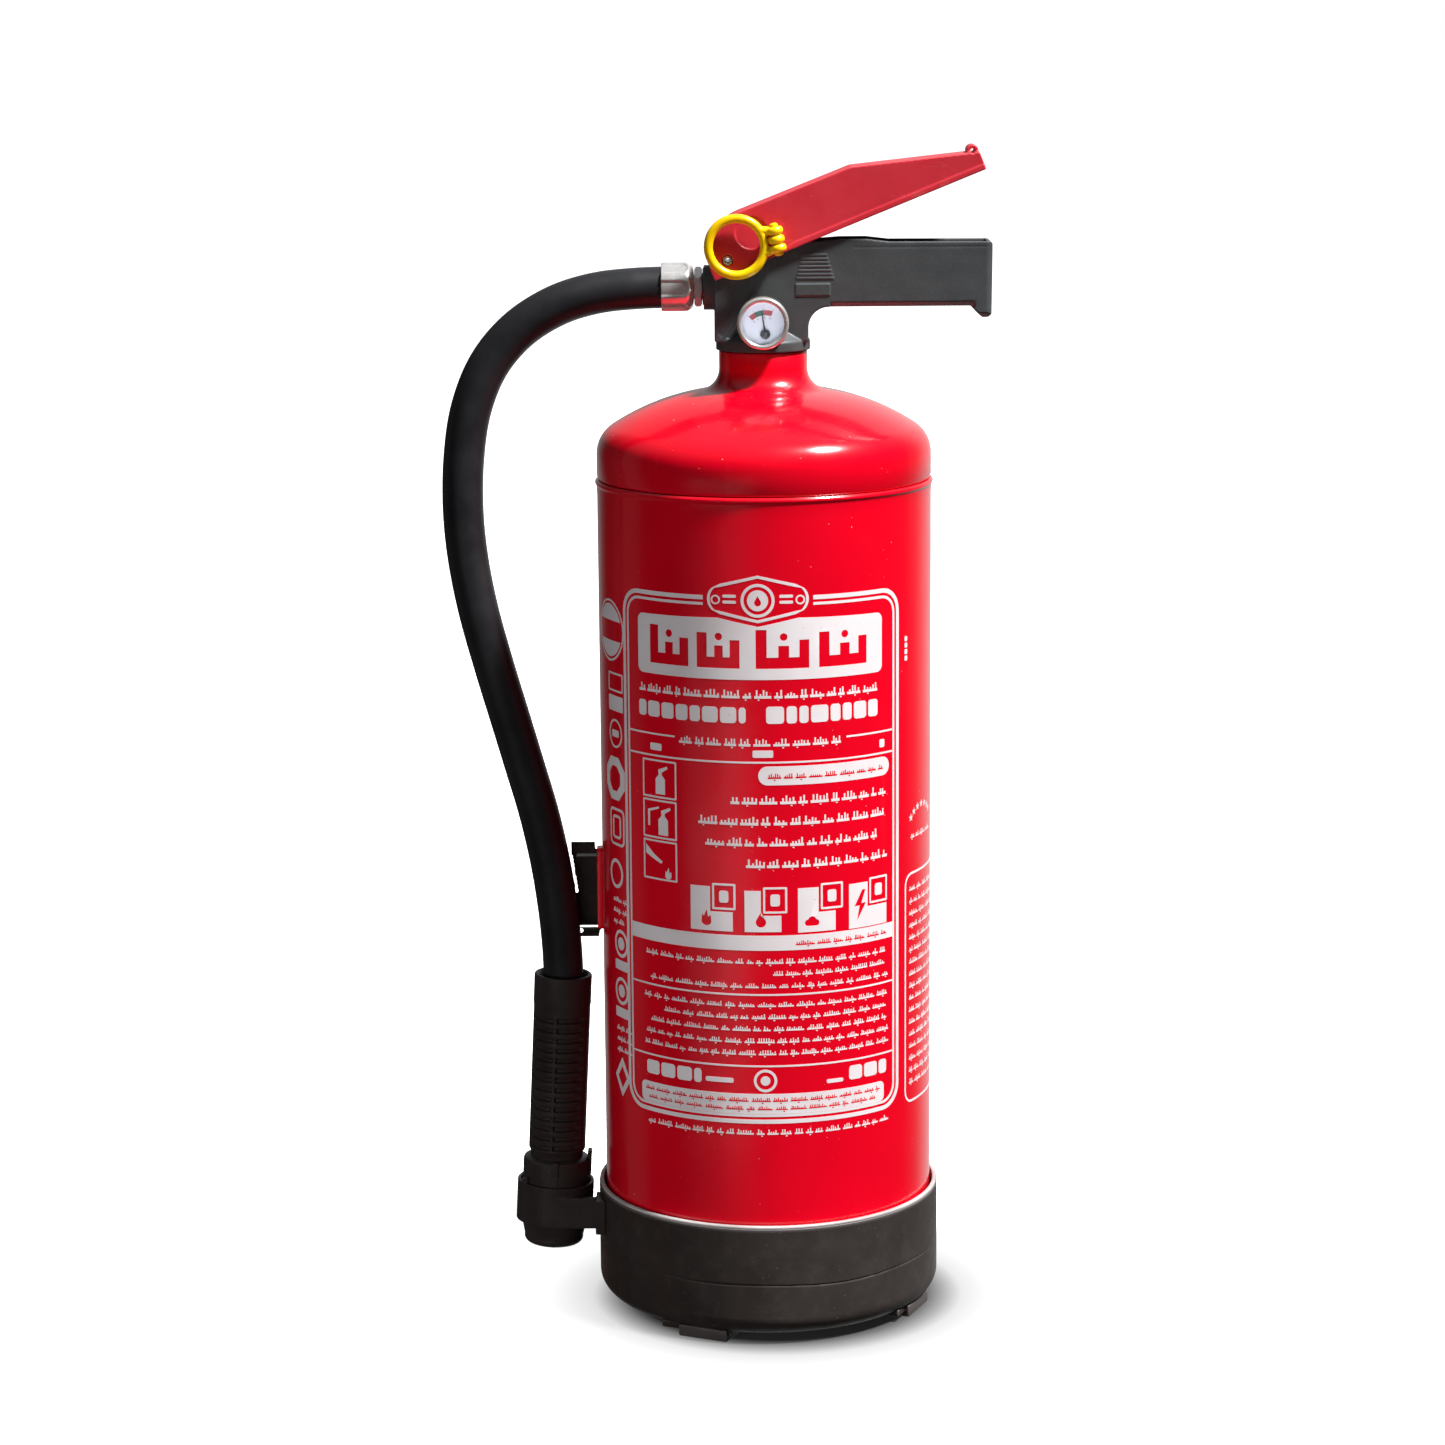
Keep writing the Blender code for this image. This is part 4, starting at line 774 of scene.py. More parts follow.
def nozzle_grip():
    """The ribbed handle with its collar, turned from the hose's end down."""
    mouth = 0.0112
    socket = 0.0096
    profile = [(socket, -0.0165), (socket, -0.0030), (mouth, -0.0006), (mouth + 0.0005, 0.0)]
    profile += arc((COLLAR_R - 0.0008, -0.0008), 0.0008, 90, 0, 4)
    profile += [(COLLAR_R, -COLLAR_LENGTH + 0.0005), (GRIP_R + 0.0001, -COLLAR_LENGTH)]
    steps = 10 * RIB_COUNT
    profile += [(GRIP_R, -COLLAR_LENGTH - 0.0006)]
    profile += [(GRIP_R, -RIB_START - RIB_PITCH * RIB_COUNT * i / steps) for i in range(steps + 1)]
    low = -RIB_START - RIB_PITCH * RIB_COUNT
    profile += [(GRIP_R - 0.0004, low - 0.0008), (GRIP_R - 0.0009, low - 0.0016)]
    profile += [(GRIP_R - 0.0009, -GRIP_LENGTH)]
    profile += [(0.0072, -GRIP_LENGTH), (0.0072, -0.0165)]
    grip = lathe("nozzle_grip_skin", profile, 144, closed=True, shape=grip_shape)
    aim(grip, NOZZLE_TOP, NOZZLE_TOP - NOZZLE_TIP)
    return dress(
        grip, "nozzle_grip_skin", "nozzle_rubber", replaces=["nozzle_grip"]
    )


def cup_shape(turn, radius, height):
    """A fine mould seam down the front and the back of the cup."""
    off = abs(math.remainder(turn - SPINE_TURN - math.radians(12), math.pi))
    return radius + 0.00025 * (1 - smoothstep(0.01, 0.05, off)) * smoothstep(0.010, 0.012, radius)


def nozzle_cup():
    """The smooth end of the nozzle with its three small lugs."""
    end = -(NOZZLE_TOP - NOZZLE_TIP).length
    top = -GRIP_LENGTH + 0.0004
    profile = [(0.0090, top + 0.0010), (GRIP_R - 0.0002, top + 0.0006)]
    profile += arc((CUP_R - 0.0014, top - 0.0014), 0.0014, 90, 0, 5)
    profile += [(CUP_R, top - 0.012), (CUP_R, end + 0.020), (CUP_R - 0.0003, end + 0.013)]
    profile += [(CUP_R - 0.0009, end + 0.0075), (CUP_END_R + 0.0001, end + 0.0036)]
    profile += arc((CUP_END_R - 0.0026, end + 0.0028), 0.0028, 10, -90, 7)
    profile += [
        (0.0104, end), (0.0098, end + 0.0006), (0.0072, end + 0.022), (0.0072, top + 0.0010)
    ]
    cup = lathe("nozzle_cup_skin", profile, 120, closed=True, shape=cup_shape)
    lugs = [block((-0.0016, -CUP_R - 0.0007, -0.0930), (0.0016, -CUP_R + 0.0015, -0.0868), 0.0004)]
    lugs.append(
        block((-0.0016, CUP_R - 0.0015, -0.0930), (0.0016, CUP_R + 0.0007, -0.0868), 0.0004)
    )
    lugs.append(
        block((CUP_R - 0.0010, -0.0030, -0.0960), (CUP_R + 0.0009, 0.0030, -0.0840), 0.0005)
    )
    carve(cup, lugs)
    aim(cup, NOZZLE_TOP, NOZZLE_TOP - NOZZLE_TIP)
    return dress(cup, "nozzle_cup_skin", "nozzle_rubber", replaces=["nozzle_cup"])


# ---------------------------------------------------------------- vessel and boot

CROWN_R = 0.105
CROWN_CENTRE = (0.011, 0.3116)
KNUCKLE_R = 0.015
NECK_R = 0.0197
NECK_FILLET_R = 0.010
BOTTOM_CORNER_R = 0.014
SHELL_WALL = 0.0015


def shoulder(inset, steps):
    """The dome's side view from the neck down to the straight wall."""
    knuckle_x = VESSEL_R - KNUCKLE_R
    reach = CROWN_R - KNUCKLE_R
    knuckle_z = CROWN_CENTRE[1] + math.sqrt(reach**2 - (knuckle_x - CROWN_CENTRE[0]) ** 2)
    to_knuckle = math.degrees(math.atan2(knuckle_z - CROWN_CENTRE[1], knuckle_x - CROWN_CENTRE[0]))
    fillet_x = NECK_R + NECK_FILLET_R
    span = CROWN_R + NECK_FILLET_R
    fillet_z = CROWN_CENTRE[1] + math.sqrt(span**2 - (fillet_x - CROWN_CENTRE[0]) ** 2)
    to_fillet = math.degrees(math.atan2(fillet_z - CROWN_CENTRE[1], fillet_x - CROWN_CENTRE[0]))
    points = arc((fillet_x, fillet_z), NECK_FILLET_R + inset, 180, 180 + to_fillet, steps)
    points += arc(CROWN_CENTRE, CROWN_R - inset, to_fillet, to_knuckle, 2 * steps)[1:]
    points += arc((knuckle_x, knuckle_z), KNUCKLE_R - inset, to_knuckle, 0, 2 * steps)[1:]
    return points


def seam_shape(turn, radius, height):
    """The weld bead's small unevenness, which fades away from the seam."""
    near = 1 - smoothstep(0.0004, 0.0060, abs(height - SEAM_Z + 0.0014))
    ripple = math.sin(turn * 37) + 0.7 * math.sin(turn * 61 + 1) + 0.6 * math.sin(turn * 13 + 2)
    return radius - 0.00004 * near * (1 + ripple / 2.3)


def vessel():
    """The painted shell with its weld bead, and the dome over it."""
    corner = (VESSEL_R - BOTTOM_CORNER_R, BOTTOM_Z + BOTTOM_CORNER_R)
    bead_z = SEAM_Z - 0.0014
    outside = [(VESSEL_R + 0.0001, SEAM_Z)]
    outside += arc((VESSEL_R - 0.0004, bead_z), 0.0013, 62, -55, 8)
    outside += [(VESSEL_R + 0.00022, bead_z - 0.0022), (VESSEL_R + 0.00010, bead_z - 0.0040)]
    outside += [(VESSEL_R, bead_z - 0.0062)]
    outside += [(VESSEL_R, SEAM_Z - 0.01 - (SEAM_Z - 0.035) * i / 24) for i in range(25)]
    outside += arc(corner, BOTTOM_CORNER_R, 0, -90, 10)
    outside += [(0.030, BOTTOM_Z + 0.0024), (0, BOTTOM_Z + 0.0034)]
    inner = BOTTOM_CORNER_R - SHELL_WALL
    inside = [(0, BOTTOM_Z + 0.0034 + SHELL_WALL), (0.030, BOTTOM_Z + 0.0024 + SHELL_WALL)]
    inside += arc(corner, inner, -90, 0, 6) + [(VESSEL_R - SHELL_WALL, SEAM_Z)]
    shell = lathe("shell_paint", inside + outside, ROUND, shape=seam_shape)
    dress(shell, "shell_paint", "red_paint", replaces=["vessel_shell"], sharp=60)
    foot = SEAM_Z + 0.0003
    top = [
        (NECK_R - SHELL_WALL, NECK_TOP_Z),
        (NECK_R - 0.0004, NECK_TOP_Z),
        (NECK_R, NECK_TOP_Z - 0.0004),
    ]
    outer = shoulder(0, 10) + [(VESSEL_R, foot + 0.0014), (VESSEL_R - 0.0008, foot)]
    inner = [(VESSEL_R - SHELL_WALL, foot)] + shoulder(SHELL_WALL, 5)[::-1]
    dome = lathe("dome_paint", top + outer + inner, ROUND, closed=True)
    dress(dome, "dome_paint", "red_paint", replaces=["vessel_dome"], sharp=60)


BOOT_WALL = 0.0029
BOOT_UNDER_Z = -0.0022
BOOT_CORNER_R = 0.0085
MOULD_LINE_Z = 0.0223
FOOT_REACH = 0.0752
FOOT_HALF = 0.012
FOOT_TURN = math.radians(23.5)


def boot_shape(turn, radius, height):
    """A shallow uneven mould line round the wall and a slightly wavy rim."""
    if radius < BOOT_R - 0.002:
        return radius
    wander = 0.0007 * math.sin(turn * 2 + 0.6) + 0.0003 * math.sin(turn * 7)
    line = 1 - smoothstep(0.0, 0.00055, abs(height - MOULD_LINE_Z - wander))
    strength = 0.55 + 0.45 * math.cos(turn + math.radians(50))
    return radius - 0.00034 * line * strength


def boot():
    """The rubber boot with its cross of feet, and a pale grey band along the top of its rim."""
    inner = BOOT_R - BOOT_WALL
    corner = (BOOT_R - BOOT_CORNER_R, BOOT_UNDER_Z + BOOT_CORNER_R)
    seat = (VESSEL_R - BOTTOM_CORNER_R, BOTTOM_Z + BOTTOM_CORNER_R)
    profile = [(0, BOTTOM_Z - 0.0005)] + arc(seat, inner - seat[0], -90, 0, 6)
    profile += [(inner, BOOT_RIM_Z - 0.004), (inner + 0.0006, BOOT_RIM_Z - 0.0012)]
    profile += [(BOOT_R - 0.0005, BOOT_RIM_Z - 0.0012), (BOOT_R, BOOT_RIM_Z - 0.0016)]
    steps = 120
    wall_top, wall_low = BOOT_RIM_Z - 0.003, corner[1]
    profile += [(BOOT_R, wall_top + (wall_low - wall_top) * i / steps) for i in range(steps)]
    profile += arc(corner, BOOT_CORNER_R, 0, -90, 10)
    profile += [(0, BOOT_UNDER_Z)]
    shell = lathe("boot_skin", profile, ROUND, shape=boot_shape)
    bars = []
    for index in range(2):
        bars.append(
            block((-FOOT_HALF, -FOOT_REACH, -DATUM_Z), (FOOT_HALF, FOOT_REACH, -0.0006), 0.0010)
        )
        low, high = (-FOOT_HALF - 0.009, -0.0735, -0.0036), (FOOT_HALF + 0.001, 0.0735, -0.0002)
        bars.append(block(low, high, 0.0008))
        for piece in bars[-2:]:
            piece.data.transform(Matrix.Rotation(-FOOT_TURN + index * math.pi / 2, 4, "Z"))
    carve(shell, bars)
    dress(shell, "boot_skin", "boot_rubber", replaces=["base_boot"])
    # A pale grey band round the top of the rim.
    rim = [(BOOT_R - 0.0008, BOOT_RIM_Z - 0.0024), (BOOT_R - 0.00035, BOOT_RIM_Z - 0.0013)]
    rim += arc((BOOT_R - 0.0010, BOOT_RIM_Z - 0.0008), 0.0008, -20, 90, 6)
    rim += arc((inner + 0.0013, BOOT_RIM_Z - 0.0006), 0.0006, 90, 180, 4)
    rim += [(inner + 0.0008, BOOT_RIM_Z - 0.0024)]
    edge = lathe("boot_rim_edge", rim[::-1], ROUND, closed=True)
    dress(edge, "boot_rim_edge", "rim_grey")


# ---------------------------------------------------------------- screen print

# All of the print is drawn in millimetres round the wall and up it, and then wrapped on.
PRINT_CENTRE = -3.05
PRINT_STEP = 2.5
BADGE_GAP = 24.4


def rounded(left, low, right, high, radius, steps=5):
    """A rectangle's outline with round corners, in millimetres."""
    corners = ((right - radius, high - radius, 0), (left + radius, high - radius, 90))
    corners += ((left + radius, low + radius, 180), (right - radius, low + radius, 270))
    points = []
    for x, z, start in corners:
        points += arc((x, z), radius, start, start + 90, steps)
    return points


def ring_outlines(left, low, right, high, radius, line):
    """A rectangular line with round corners."""
    inner = rounded(left + line, low + line, right - line, high - line, max(0.2, radius - line))
    return [rounded(left, low, right, high, radius), inner]


def circle(x, z, radius, steps=28):
    """A circle's outline."""
    return arc((x, z), radius, 0, 360, steps)[:-1]


def round_ring(x, z, radius, line):
    """A round line."""
    return [circle(x, z, radius), circle(x, z, radius - line)]


def word(left, width, base, height, rng):
    """A word of dummy text: a base line with stems of uneven height, as one outline."""
    points = [(left, base), (left, base + 0.32 * height)]
    stroke = 0.17 * height + 0.1
    at = left
    while at + 1.6 * stroke + 0.5 < left + width:
        stem = rng.choice((0.55, 0.7, 1.0, 1.0, 0.8)) * height
        foot = at + rng.uniform(0.7, 1.5) * stroke
        points += [(foot, base + 0.30 * height), (foot, base + stem), (foot + stroke, base + stem)]
        points += [(foot + stroke, base + 0.30 * height)]
        at = foot + stroke
    points += [(left + width, base + 0.32 * height), (left + width, base)]
    return points


def text_row(left, right, base, height, seed):
    """Dummy words in a row, with a few marks above and below them."""
    rng = random.Random(seed)
    outlines = []
    at = left
    while at < right - 2.5:
        width = min(rng.uniform(3.0, 9.0), right - at)
        outlines.append(word(at, width, base, height, rng))
        if rng.random() < 0.6:
            mark = at + rng.uniform(0.2, 0.8) * (width - 0.8)
            outlines.append(rounded(mark, base - 0.9, mark + 0.8, base - 0.35, 0.2, 2))
        at += width + rng.uniform(0.9, 1.5)
    return outlines


def solid_row(left, right, low, high, seed):
    """Broad dummy blocks, like a heading."""
    rng = random.Random(seed)
    outlines = []
    at = left
    while at < right - 3:
        width = min(rng.uniform(4.0, 8.0), right - at)
        outlines.append(rounded(at, low, at + width, high, 1.4, 4))
        at += width + 1.1
    return outlines


def on_wall(name, outlines, look, proud=0.00003):
    """Wraps flat ink shapes, in millimetres round the wall and up it, on to the vessel."""
    plate = flat_shapes([[(x * MM, z * MM) for x, z in points] for points in outlines], 0.00005)
    shape = bmesh.new()
    shape.from_mesh(plate.data)
    low = min(v.co.x for v in shape.verts)
    high = max(v.co.x for v in shape.verts)
    step = PRINT_STEP * MM
    for index in range(math.ceil(low / step), math.floor(high / step) + 1):
        geometry = shape.verts[:] + shape.edges[:] + shape.faces[:]
        bmesh.ops.bisect_plane(
            shape, geom=geometry, plane_co=(index * step, 0, 0), plane_no=(1, 0, 0)
        )
    for vertex in shape.verts:
        turn = (vertex.co.x + PRINT_CENTRE * MM) / VESSEL_R
        radius = VESSEL_R + proud + vertex.co.z
        vertex.co = (radius * math.sin(turn), -radius * math.cos(turn), vertex.co.y)
    bmesh.ops.recalc_face_normals(shape, faces=shape.faces)
    shape.to_mesh(plate.data)
    shape.free()
    dress(plate, name, look)


def badge_outline(shrink):
    """The pointed badge above the panel."""
    wide = 22.4 - shrink
    high = 342.4 - 1.04 * shrink
    low = 321.6 + 1.04 * shrink
    half = [(0.0, high), (16.5 - 0.7 * shrink, 338.6 - shrink)]
    half += arc((wide - 6.5, 331.9), 6.5, 48, -48, 8)
    half += [(16.5 - 0.7 * shrink, 325.3 + shrink), (0.0, low)]
    return half + [(-x, z) for x, z in half[-2:0:-1]]


def frame_path(left, low, right, high, radius, line):
    """A frame's band, open at the top where the badge sits, as one outline."""
    outer = rounded(left, low, right, high, radius, 8)
    inner = rounded(left + line, low + line, right - line, high - line, radius - line, 8)
    # Both run anticlockwise from the top right corner, and are turned to start at the badge's left.
    start, gap = 9, BADGE_GAP
    outer = [(-gap, high)] + outer[start:] + outer[:start] + [(gap, high)]
    inner = [(-gap, high - line)] + inner[start:] + inner[:start] + [(gap, high - line)]
    return outer + inner[::-1]


def print_frames():
    """The double frame round the main panel, its badge and the side panel's frame."""
    shapes = [frame_path(-70.8, 96.5, 70.8, 333.3, 11.0, 1.9)]
    shapes.append(frame_path(-67.6, 99.6, 67.6, 330.2, 8.2, 1.2))
    shapes += [badge_outline(0.0), badge_outline(1.2)]
    return shapes + ring_outlines(75.8, 95.2, 128.0, 202.0, 6.0, 1.0)


def print_rules():
    """The lines across the main panel, and its broad white band."""
    rules = [(269.3, -66.2, -38.8), (269.3, 40.0, 66.2)]
    rules += [(z, -66.2, 66.2) for z in (259.6, 155.1, 122.5)]
    return [bar(left, z, right, z + 0.8) for z, left, right in rules] + [
        bar(-66.3, 175.6, 66.3, 182.4)
    ]


def flame(x, z, size):
    """A plain flame, as one outline."""
    tips = ((0.42, 0.45), (0.16, 0.30), (0.05, 1.0), (-0.24, 0.36), (-0.40, 0.55))
    return arc((x, z), 0.5 * size, 200, 340, 8) + [
        (x + dx * size, z + dz * size) for dx, dz in tips
    ]


def drop(x, z, size):
    """A drop, as one outline."""
    return arc((x, z), 0.5 * size, 150, 390, 12) + [(x, z + size)]


def cloud(x, z, size):
    """A cloud, as one outline."""
    points = arc((x - 0.5 * size, z), 0.38 * size, 100, 270, 6)
    points += arc((x + 0.5 * size, z), 0.38 * size, 270, 440, 6)
    return points + arc((x, z + 0.25 * size), 0.5 * size, 20, 160, 8)


def bolt(x, z, size):
    """A lightning bolt, as one outline."""
    shape = ((0.15, 1.0), (-0.45, -0.05), (-0.05, 0.0), (-0.25, -1.0))
    shape += ((0.45, 0.15), (0.08, 0.12), (0.4, 1.0))
    return [(x + dx * size, z + dz * size) for dx, dz in shape]


def print_panels():
    """White panels with their red shapes left out."""
    notch = [(x, z) for x, z in badge_outline(-1.6) if z < 324.2]
    notch.sort()
    panel = rounded(-59.6, 296.6, 59.4, 323.0, 3.0, 5)
    right_top = [p for p in panel if p[1] > 316 and p[0] > 0]
    left_top = [p for p in panel if p[1] > 316 and p[0] < 0]
    low_part = [p for p in panel if p[1] <= 316]
    shapes = [right_top + notch[::-1] + left_top + low_part]
    for index, (left, right) in enumerate(
        ((-52.0, -31.5), (-27.5, -8.0), (-1.0, 22.5), (27.0, 50.5))
    ):
        base, bar, reach = 301.5, 306.4, 318.6 - 1.6 * (index % 2)
        span = right - left
        shape = [
            (left, base), (right, base), (right, 314.0), (right - 4.4, 314.0), (right - 4.4, bar)
        ]
        shape += [
            (left + 0.62 * span, bar), (left + 0.62 * span, 311.5), (left + 0.42 * span, 311.5)
        ]
        shape += [(left + 0.42 * span, bar), (left + 4.8, bar), (left + 4.8, reach), (left, reach)]
        shapes.append(shape)
        shapes.append(circle(left + 0.52 * span, 315.4, 1.7, 16))
    shapes.append(rounded(-0.2, 249.9, 63.9, 258.3, 4.1, 6))
    shapes.append(rounded(-60.6, 100.9, 60.6, 110.2, 2.4, 5))
    return shapes


def hazard(left, low, width, high, inset, mark):
    """A white square with a mark left out, and a small outlined square on its top corner."""
    right, step = left + width, high - 11.2
    shapes = [
        [(left, low), (right, low), (right, step), (inset, step), (inset, high), (left, high)]
    ]
    shapes += mark
    shapes += ring_outlines(inset + 1.0, high - 10.2, inset + 11.6, high + 1.6, 0.5, 0.9)
    shapes.append(rounded(inset + 4.2, high - 7.0, inset + 8.4, high - 1.6, 1.0, 3))
    return shapes


def print_hazards():
    """The four squares with what the powder puts out."""
    shapes = hazard(-31.5, 184.0, 19.6, 203.9, -22.2, [flame(-24.0, 188.6, 5.0)])
    shapes += hazard(-6.6, 184.0, 16.2, 202.6, 0.6, [drop(0.6, 188.4, 4.6)])
    shapes += hazard(17.0, 183.4, 17.4, 203.4, 26.4, [cloud(23.4, 187.6, 3.8)])
    shapes += hazard(41.1, 182.9, 21.2, 203.2, 51.0, [bolt(47.0, 193.0, 7.0)])
    return shapes


def little_bottle(x, z, size):
    """A plain cylinder with its valve, as one outline."""
    shape = (
        (-0.35, 0.0), (0.35, 0.0), (0.35, 0.9), (0.12, 1.15), (0.12, 1.3), (0.55, 1.55), (0.5, 1.7)
    )
    shape += ((-0.15, 1.45), (-0.12, 1.15), (-0.35, 0.9))
    return [(x + dx * size, z + dz * size) for dx, dz in shape]


def print_steps():
    """Three stacked boxes with plain pictures of the steps, and the column of round marks."""
    shapes = []
    for low, high in ((241.0, 258.2), (222.7, 240.2), (203.9, 221.9)):
        shapes += ring_outlines(-57.5, low, -38.2, high, 0.4, 0.8)
    shapes.append(little_bottle(-47.0, 242.8, 7.6))
    shapes.append(little_bottle(-45.6, 224.4, 7.6))
    spout = [
        (-54.5, 228.0),
        (-53.3, 228.0),
        (-53.3, 234.6),
        (-48.0, 236.2),
        (-48.0, 237.2),
        (-54.5, 235.4),
    ]
    jet = [
        (-56.0, 219.6),
        (-51.0, 215.4),
        (-46.2, 212.6),
        (-46.8, 211.4),
        (-52.2, 213.6),
        (-56.0, 215.4),
    ]
    shapes += [spout, jet]
    shapes.append(flame(-43.0, 206.6, 3.6))
    shapes += round_ring(-84.6, 311.7, 14.0, 1.0)
    shapes += [arc((-84.6, 311.7), 12.0, 22, 158, 14), arc((-84.6, 311.7), 12.0, 202, 338, 14)]
    shapes += ring_outlines(-86.5, 284.4, -72.0, 293.0, 0.8, 0.9)
    shapes.append(rounded(-86.5, 275.6, -72.0, 282.6, 0.8, 3))
    shapes += round_ring(-79.6, 265.4, 6.6, 1.0)
    shapes.append(rounded(-83.0, 263.8, -76.2, 267.0, 0.8, 3))
    octagon = arc((-81.0, 244.8), 10.6, 22.5, 337.5, 7)
    shapes += [octagon, arc((-81.0, 244.8), 6.2, 22.5, 337.5, 7)]
    shapes += ring_outlines(-86.6, 214.2, -72.0, 231.4, 3.0, 1.2)
    shapes += ring_outlines(-83.4, 217.4, -75.2, 228.2, 2.0, 1.2)
    shapes += round_ring(-80.6, 201.2, 6.8, 1.6)
    for low in (157.0, 135.0):
        shapes += round_ring(-76.6, low + 12.4, 6.4, 1.5)
        shapes.append(circle(-76.6, low + 12.4, 3.0, 16))
        shapes.append(rounded(-82.6, low, -70.4, low + 4.6, 0.5, 3))
    shapes += [[(-76.8, 116.4), (-84.0, 107.2), (-76.8, 98.0), (-69.6, 107.2)]]
    shapes += [[(-76.8, 112.4), (-81.0, 107.2), (-76.8, 102.0), (-72.6, 107.2)]]
    return shapes


def star(x, z, size):
    """A five-pointed star's outline."""
    points = []
    for index in range(10):
        reach = size if index % 2 == 0 else 0.42 * size
        turn = math.radians(90 + 36 * index)
        points.append((x + reach * math.cos(turn), z + reach * math.sin(turn)))
    return points


def print_marks():
    """The badge's ring, the heading blocks, small ratings and the side panel's stars."""
    shapes = round_ring(0.0, 331.4, 7.4, 1.3) + [circle(0.0, 331.4, 4.6), drop(0.0, 330.4, 3.0)]
    shapes += round_ring(-18.6, 331.6, 2.1, 0.7) + round_ring(18.6, 331.6, 2.1, 0.7)
    for side in (-1, 1):
        for z in (332.6, 330.0):
            near, far = sorted((side * 9.4, side * 15.4))
            shapes.append(rounded(near, z, far, z + 1.3, 0.5, 2))
    shapes += solid_row(-59.4, -5.5, 277.4, 284.4, 21) + solid_row(3.4, 58.6, 277.2, 284.8, 22)
    shapes += [
        rounded(-52.6, 262.4, -46.0, 265.6, 0.6, 3), rounded(-2.6, 262.2, 6.4, 265.4, 0.6, 3)
    ]
    shapes += [rounded(58.0, 262.6, 61.0, 266.2, 0.6, 3)]
    shapes += solid_row(-57.0, -27.0, 114.0, 120.4, 23)
    shapes += [
        rounded(-25.0, 115.0, -12.0, 117.2, 0.8, 3), rounded(30.0, 113.6, 38.0, 115.4, 0.7, 3)
    ]
    shapes += solid_row(41.0, 63.0, 113.8, 120.2, 24)
    shapes += round_ring(2.2, 116.2, 5.2, 1.2) + [circle(2.2, 116.2, 2.2, 16)]
    for index in range(7):
        turn = math.radians(150 - 20 * index)
        shapes.append(star(92.5 + 13 * math.cos(turn), 222.5 + 9 * math.sin(turn), 1.9))
    shapes += [rounded(75.4, 299.0 + 2.9 * i, 77.6, 301.2 + 2.9 * i, 0.5, 2) for i in range(4)]
    return shapes


def print_text():
    """The rows of dummy text, each (left, right, base, height)."""
    rows = [(-59.0, 58.6, 288.4, 3.7), (-36.6, 37.6, 267.2, 3.3)]
    rows += [(-12.5, 62.6, 241.4, 3.8), (-27.4, 62.6, 232.0, 3.8)]
    rows += [(-24.2, 56.8, 222.6, 3.8), (-5.8, 62.6, 212.9, 3.8)]
    rows += [(-56.6, 63.2, 169.6, 2.3), (5.8, 63.2, 164.2, 2.1), (-54.0, 63.2, 158.6, 2.1)]
    for index, left in enumerate((-58.0, -46.0, -54.0, -57.0, -58.0)):
        rows.append((left, 63.4, 150.0 - 5.5 * index, 2.2))
    rows += [(-56.4, 63.4, 91.4, 2.4)]
    rows += [(-84.0, -70.6, 188.4 - 5.0 * i, 2.2) for i in range(3)]
    rows += [(-81.6, -68.0, 129.0 - 5.0 * i, 2.2) for i in range(3)]
    rows += [(81.0, 106.0, 217.6, 2.2)]
    rows += [(79.6, 124.0, 193.6 - 5.6 * i, 2.2) for i in range(17)]
    outlines = []
    for index, (left, right, base, height) in enumerate(rows):
        outlines += text_row(left, right, base, height, 100 + index)
    return outlines


def dark_text():
    """Red dummy text over the white panels."""
    outlines = text_row(4.0, 60.0, 252.8, 2.2, 61)
    outlines += text_row(16.0, 64.0, 177.8, 2.0, 62)
    outlines += text_row(-58.0, 58.0, 106.6, 1.9, 63) + text_row(-56.0, 56.0, 102.8, 1.7, 64)
    return outlines


def screen_prints():
    """The white print, one piece for each group of shapes, and the red text over its panels."""
    groups = (
        print_frames, print_rules, print_panels, print_hazards, print_steps, print_marks, print_text
    )
    for draw in groups:
        on_wall(draw.__name__, draw(), "screen_print")
    on_wall("print_dark_text", dark_text(), "red_paint", 0.00008)


# ---------------------------------------------------------------- valve body

BODY_HALF = 0.0118
HANDLE_TOP_Z = 0.481
HANDLE_UNDER_Z = 0.4526
HANDLE_END_X = 0.1017
GAUGE_SEAT_Y = -0.0165
LEVER_TRAVEL = 11
SLOT_HALF = 0.0024


def body_side_view():
    """The valve and its handle from the side."""
    underarm_r = 0.009
    top, end = HANDLE_TOP_Z, HANDLE_END_X
    points = [
        (-0.0215, 0.4375), (-0.0215, 0.4745), (-0.0198, 0.4786), (-0.0158, 0.4800), (0.0030, 0.4800)
    ]
    points += [(0.0040, 0.4866), (0.0105, 0.4866), (0.0135, top + 0.0002), (0.020, top + 0.0004)]
    points += [
        (0.034, top + 0.0014), (0.046, top + 0.0014), (0.056, top + 0.0002), (end - 0.0012, top)
    ]
    points += [
        (end, top - 0.001), (end - 0.0004, 0.4489), (end - 0.0020, 0.4475), (end - 0.0046, 0.4475)
    ]
    points += [(end - 0.0068, 0.4495), (end - 0.0098, HANDLE_UNDER_Z)]
    points += arc((0.0202 + underarm_r, HANDLE_UNDER_Z - underarm_r), underarm_r, 90, 180, 12)
    return points + [(0.0202, 0.4375)]


def pin_slot():
    """The curved slot through both cheeks in which the safety pin follows the lever."""
    arm = PIN - PIVOT
    reach = math.hypot(arm.x, arm.z)
    rest = math.degrees(math.atan2(arm.z, arm.x))
    down = rest - LEVER_TRAVEL
    centre = (PIVOT.x, PIVOT.z)
    outer = arc(centre, reach + SLOT_HALF, rest, down, 8)
    inner = arc(centre, reach - SLOT_HALF, down, rest, 8)
    last, first = arc(centre, reach, down, rest, 1)
    low = arc(last, SLOT_HALF, down, down - 180, 8)[1:-1]
    high = arc(first, SLOT_HALF, rest + 180, rest, 8)[1:-1]
    return side_plate(outer + low + inner + high, THROUGH)


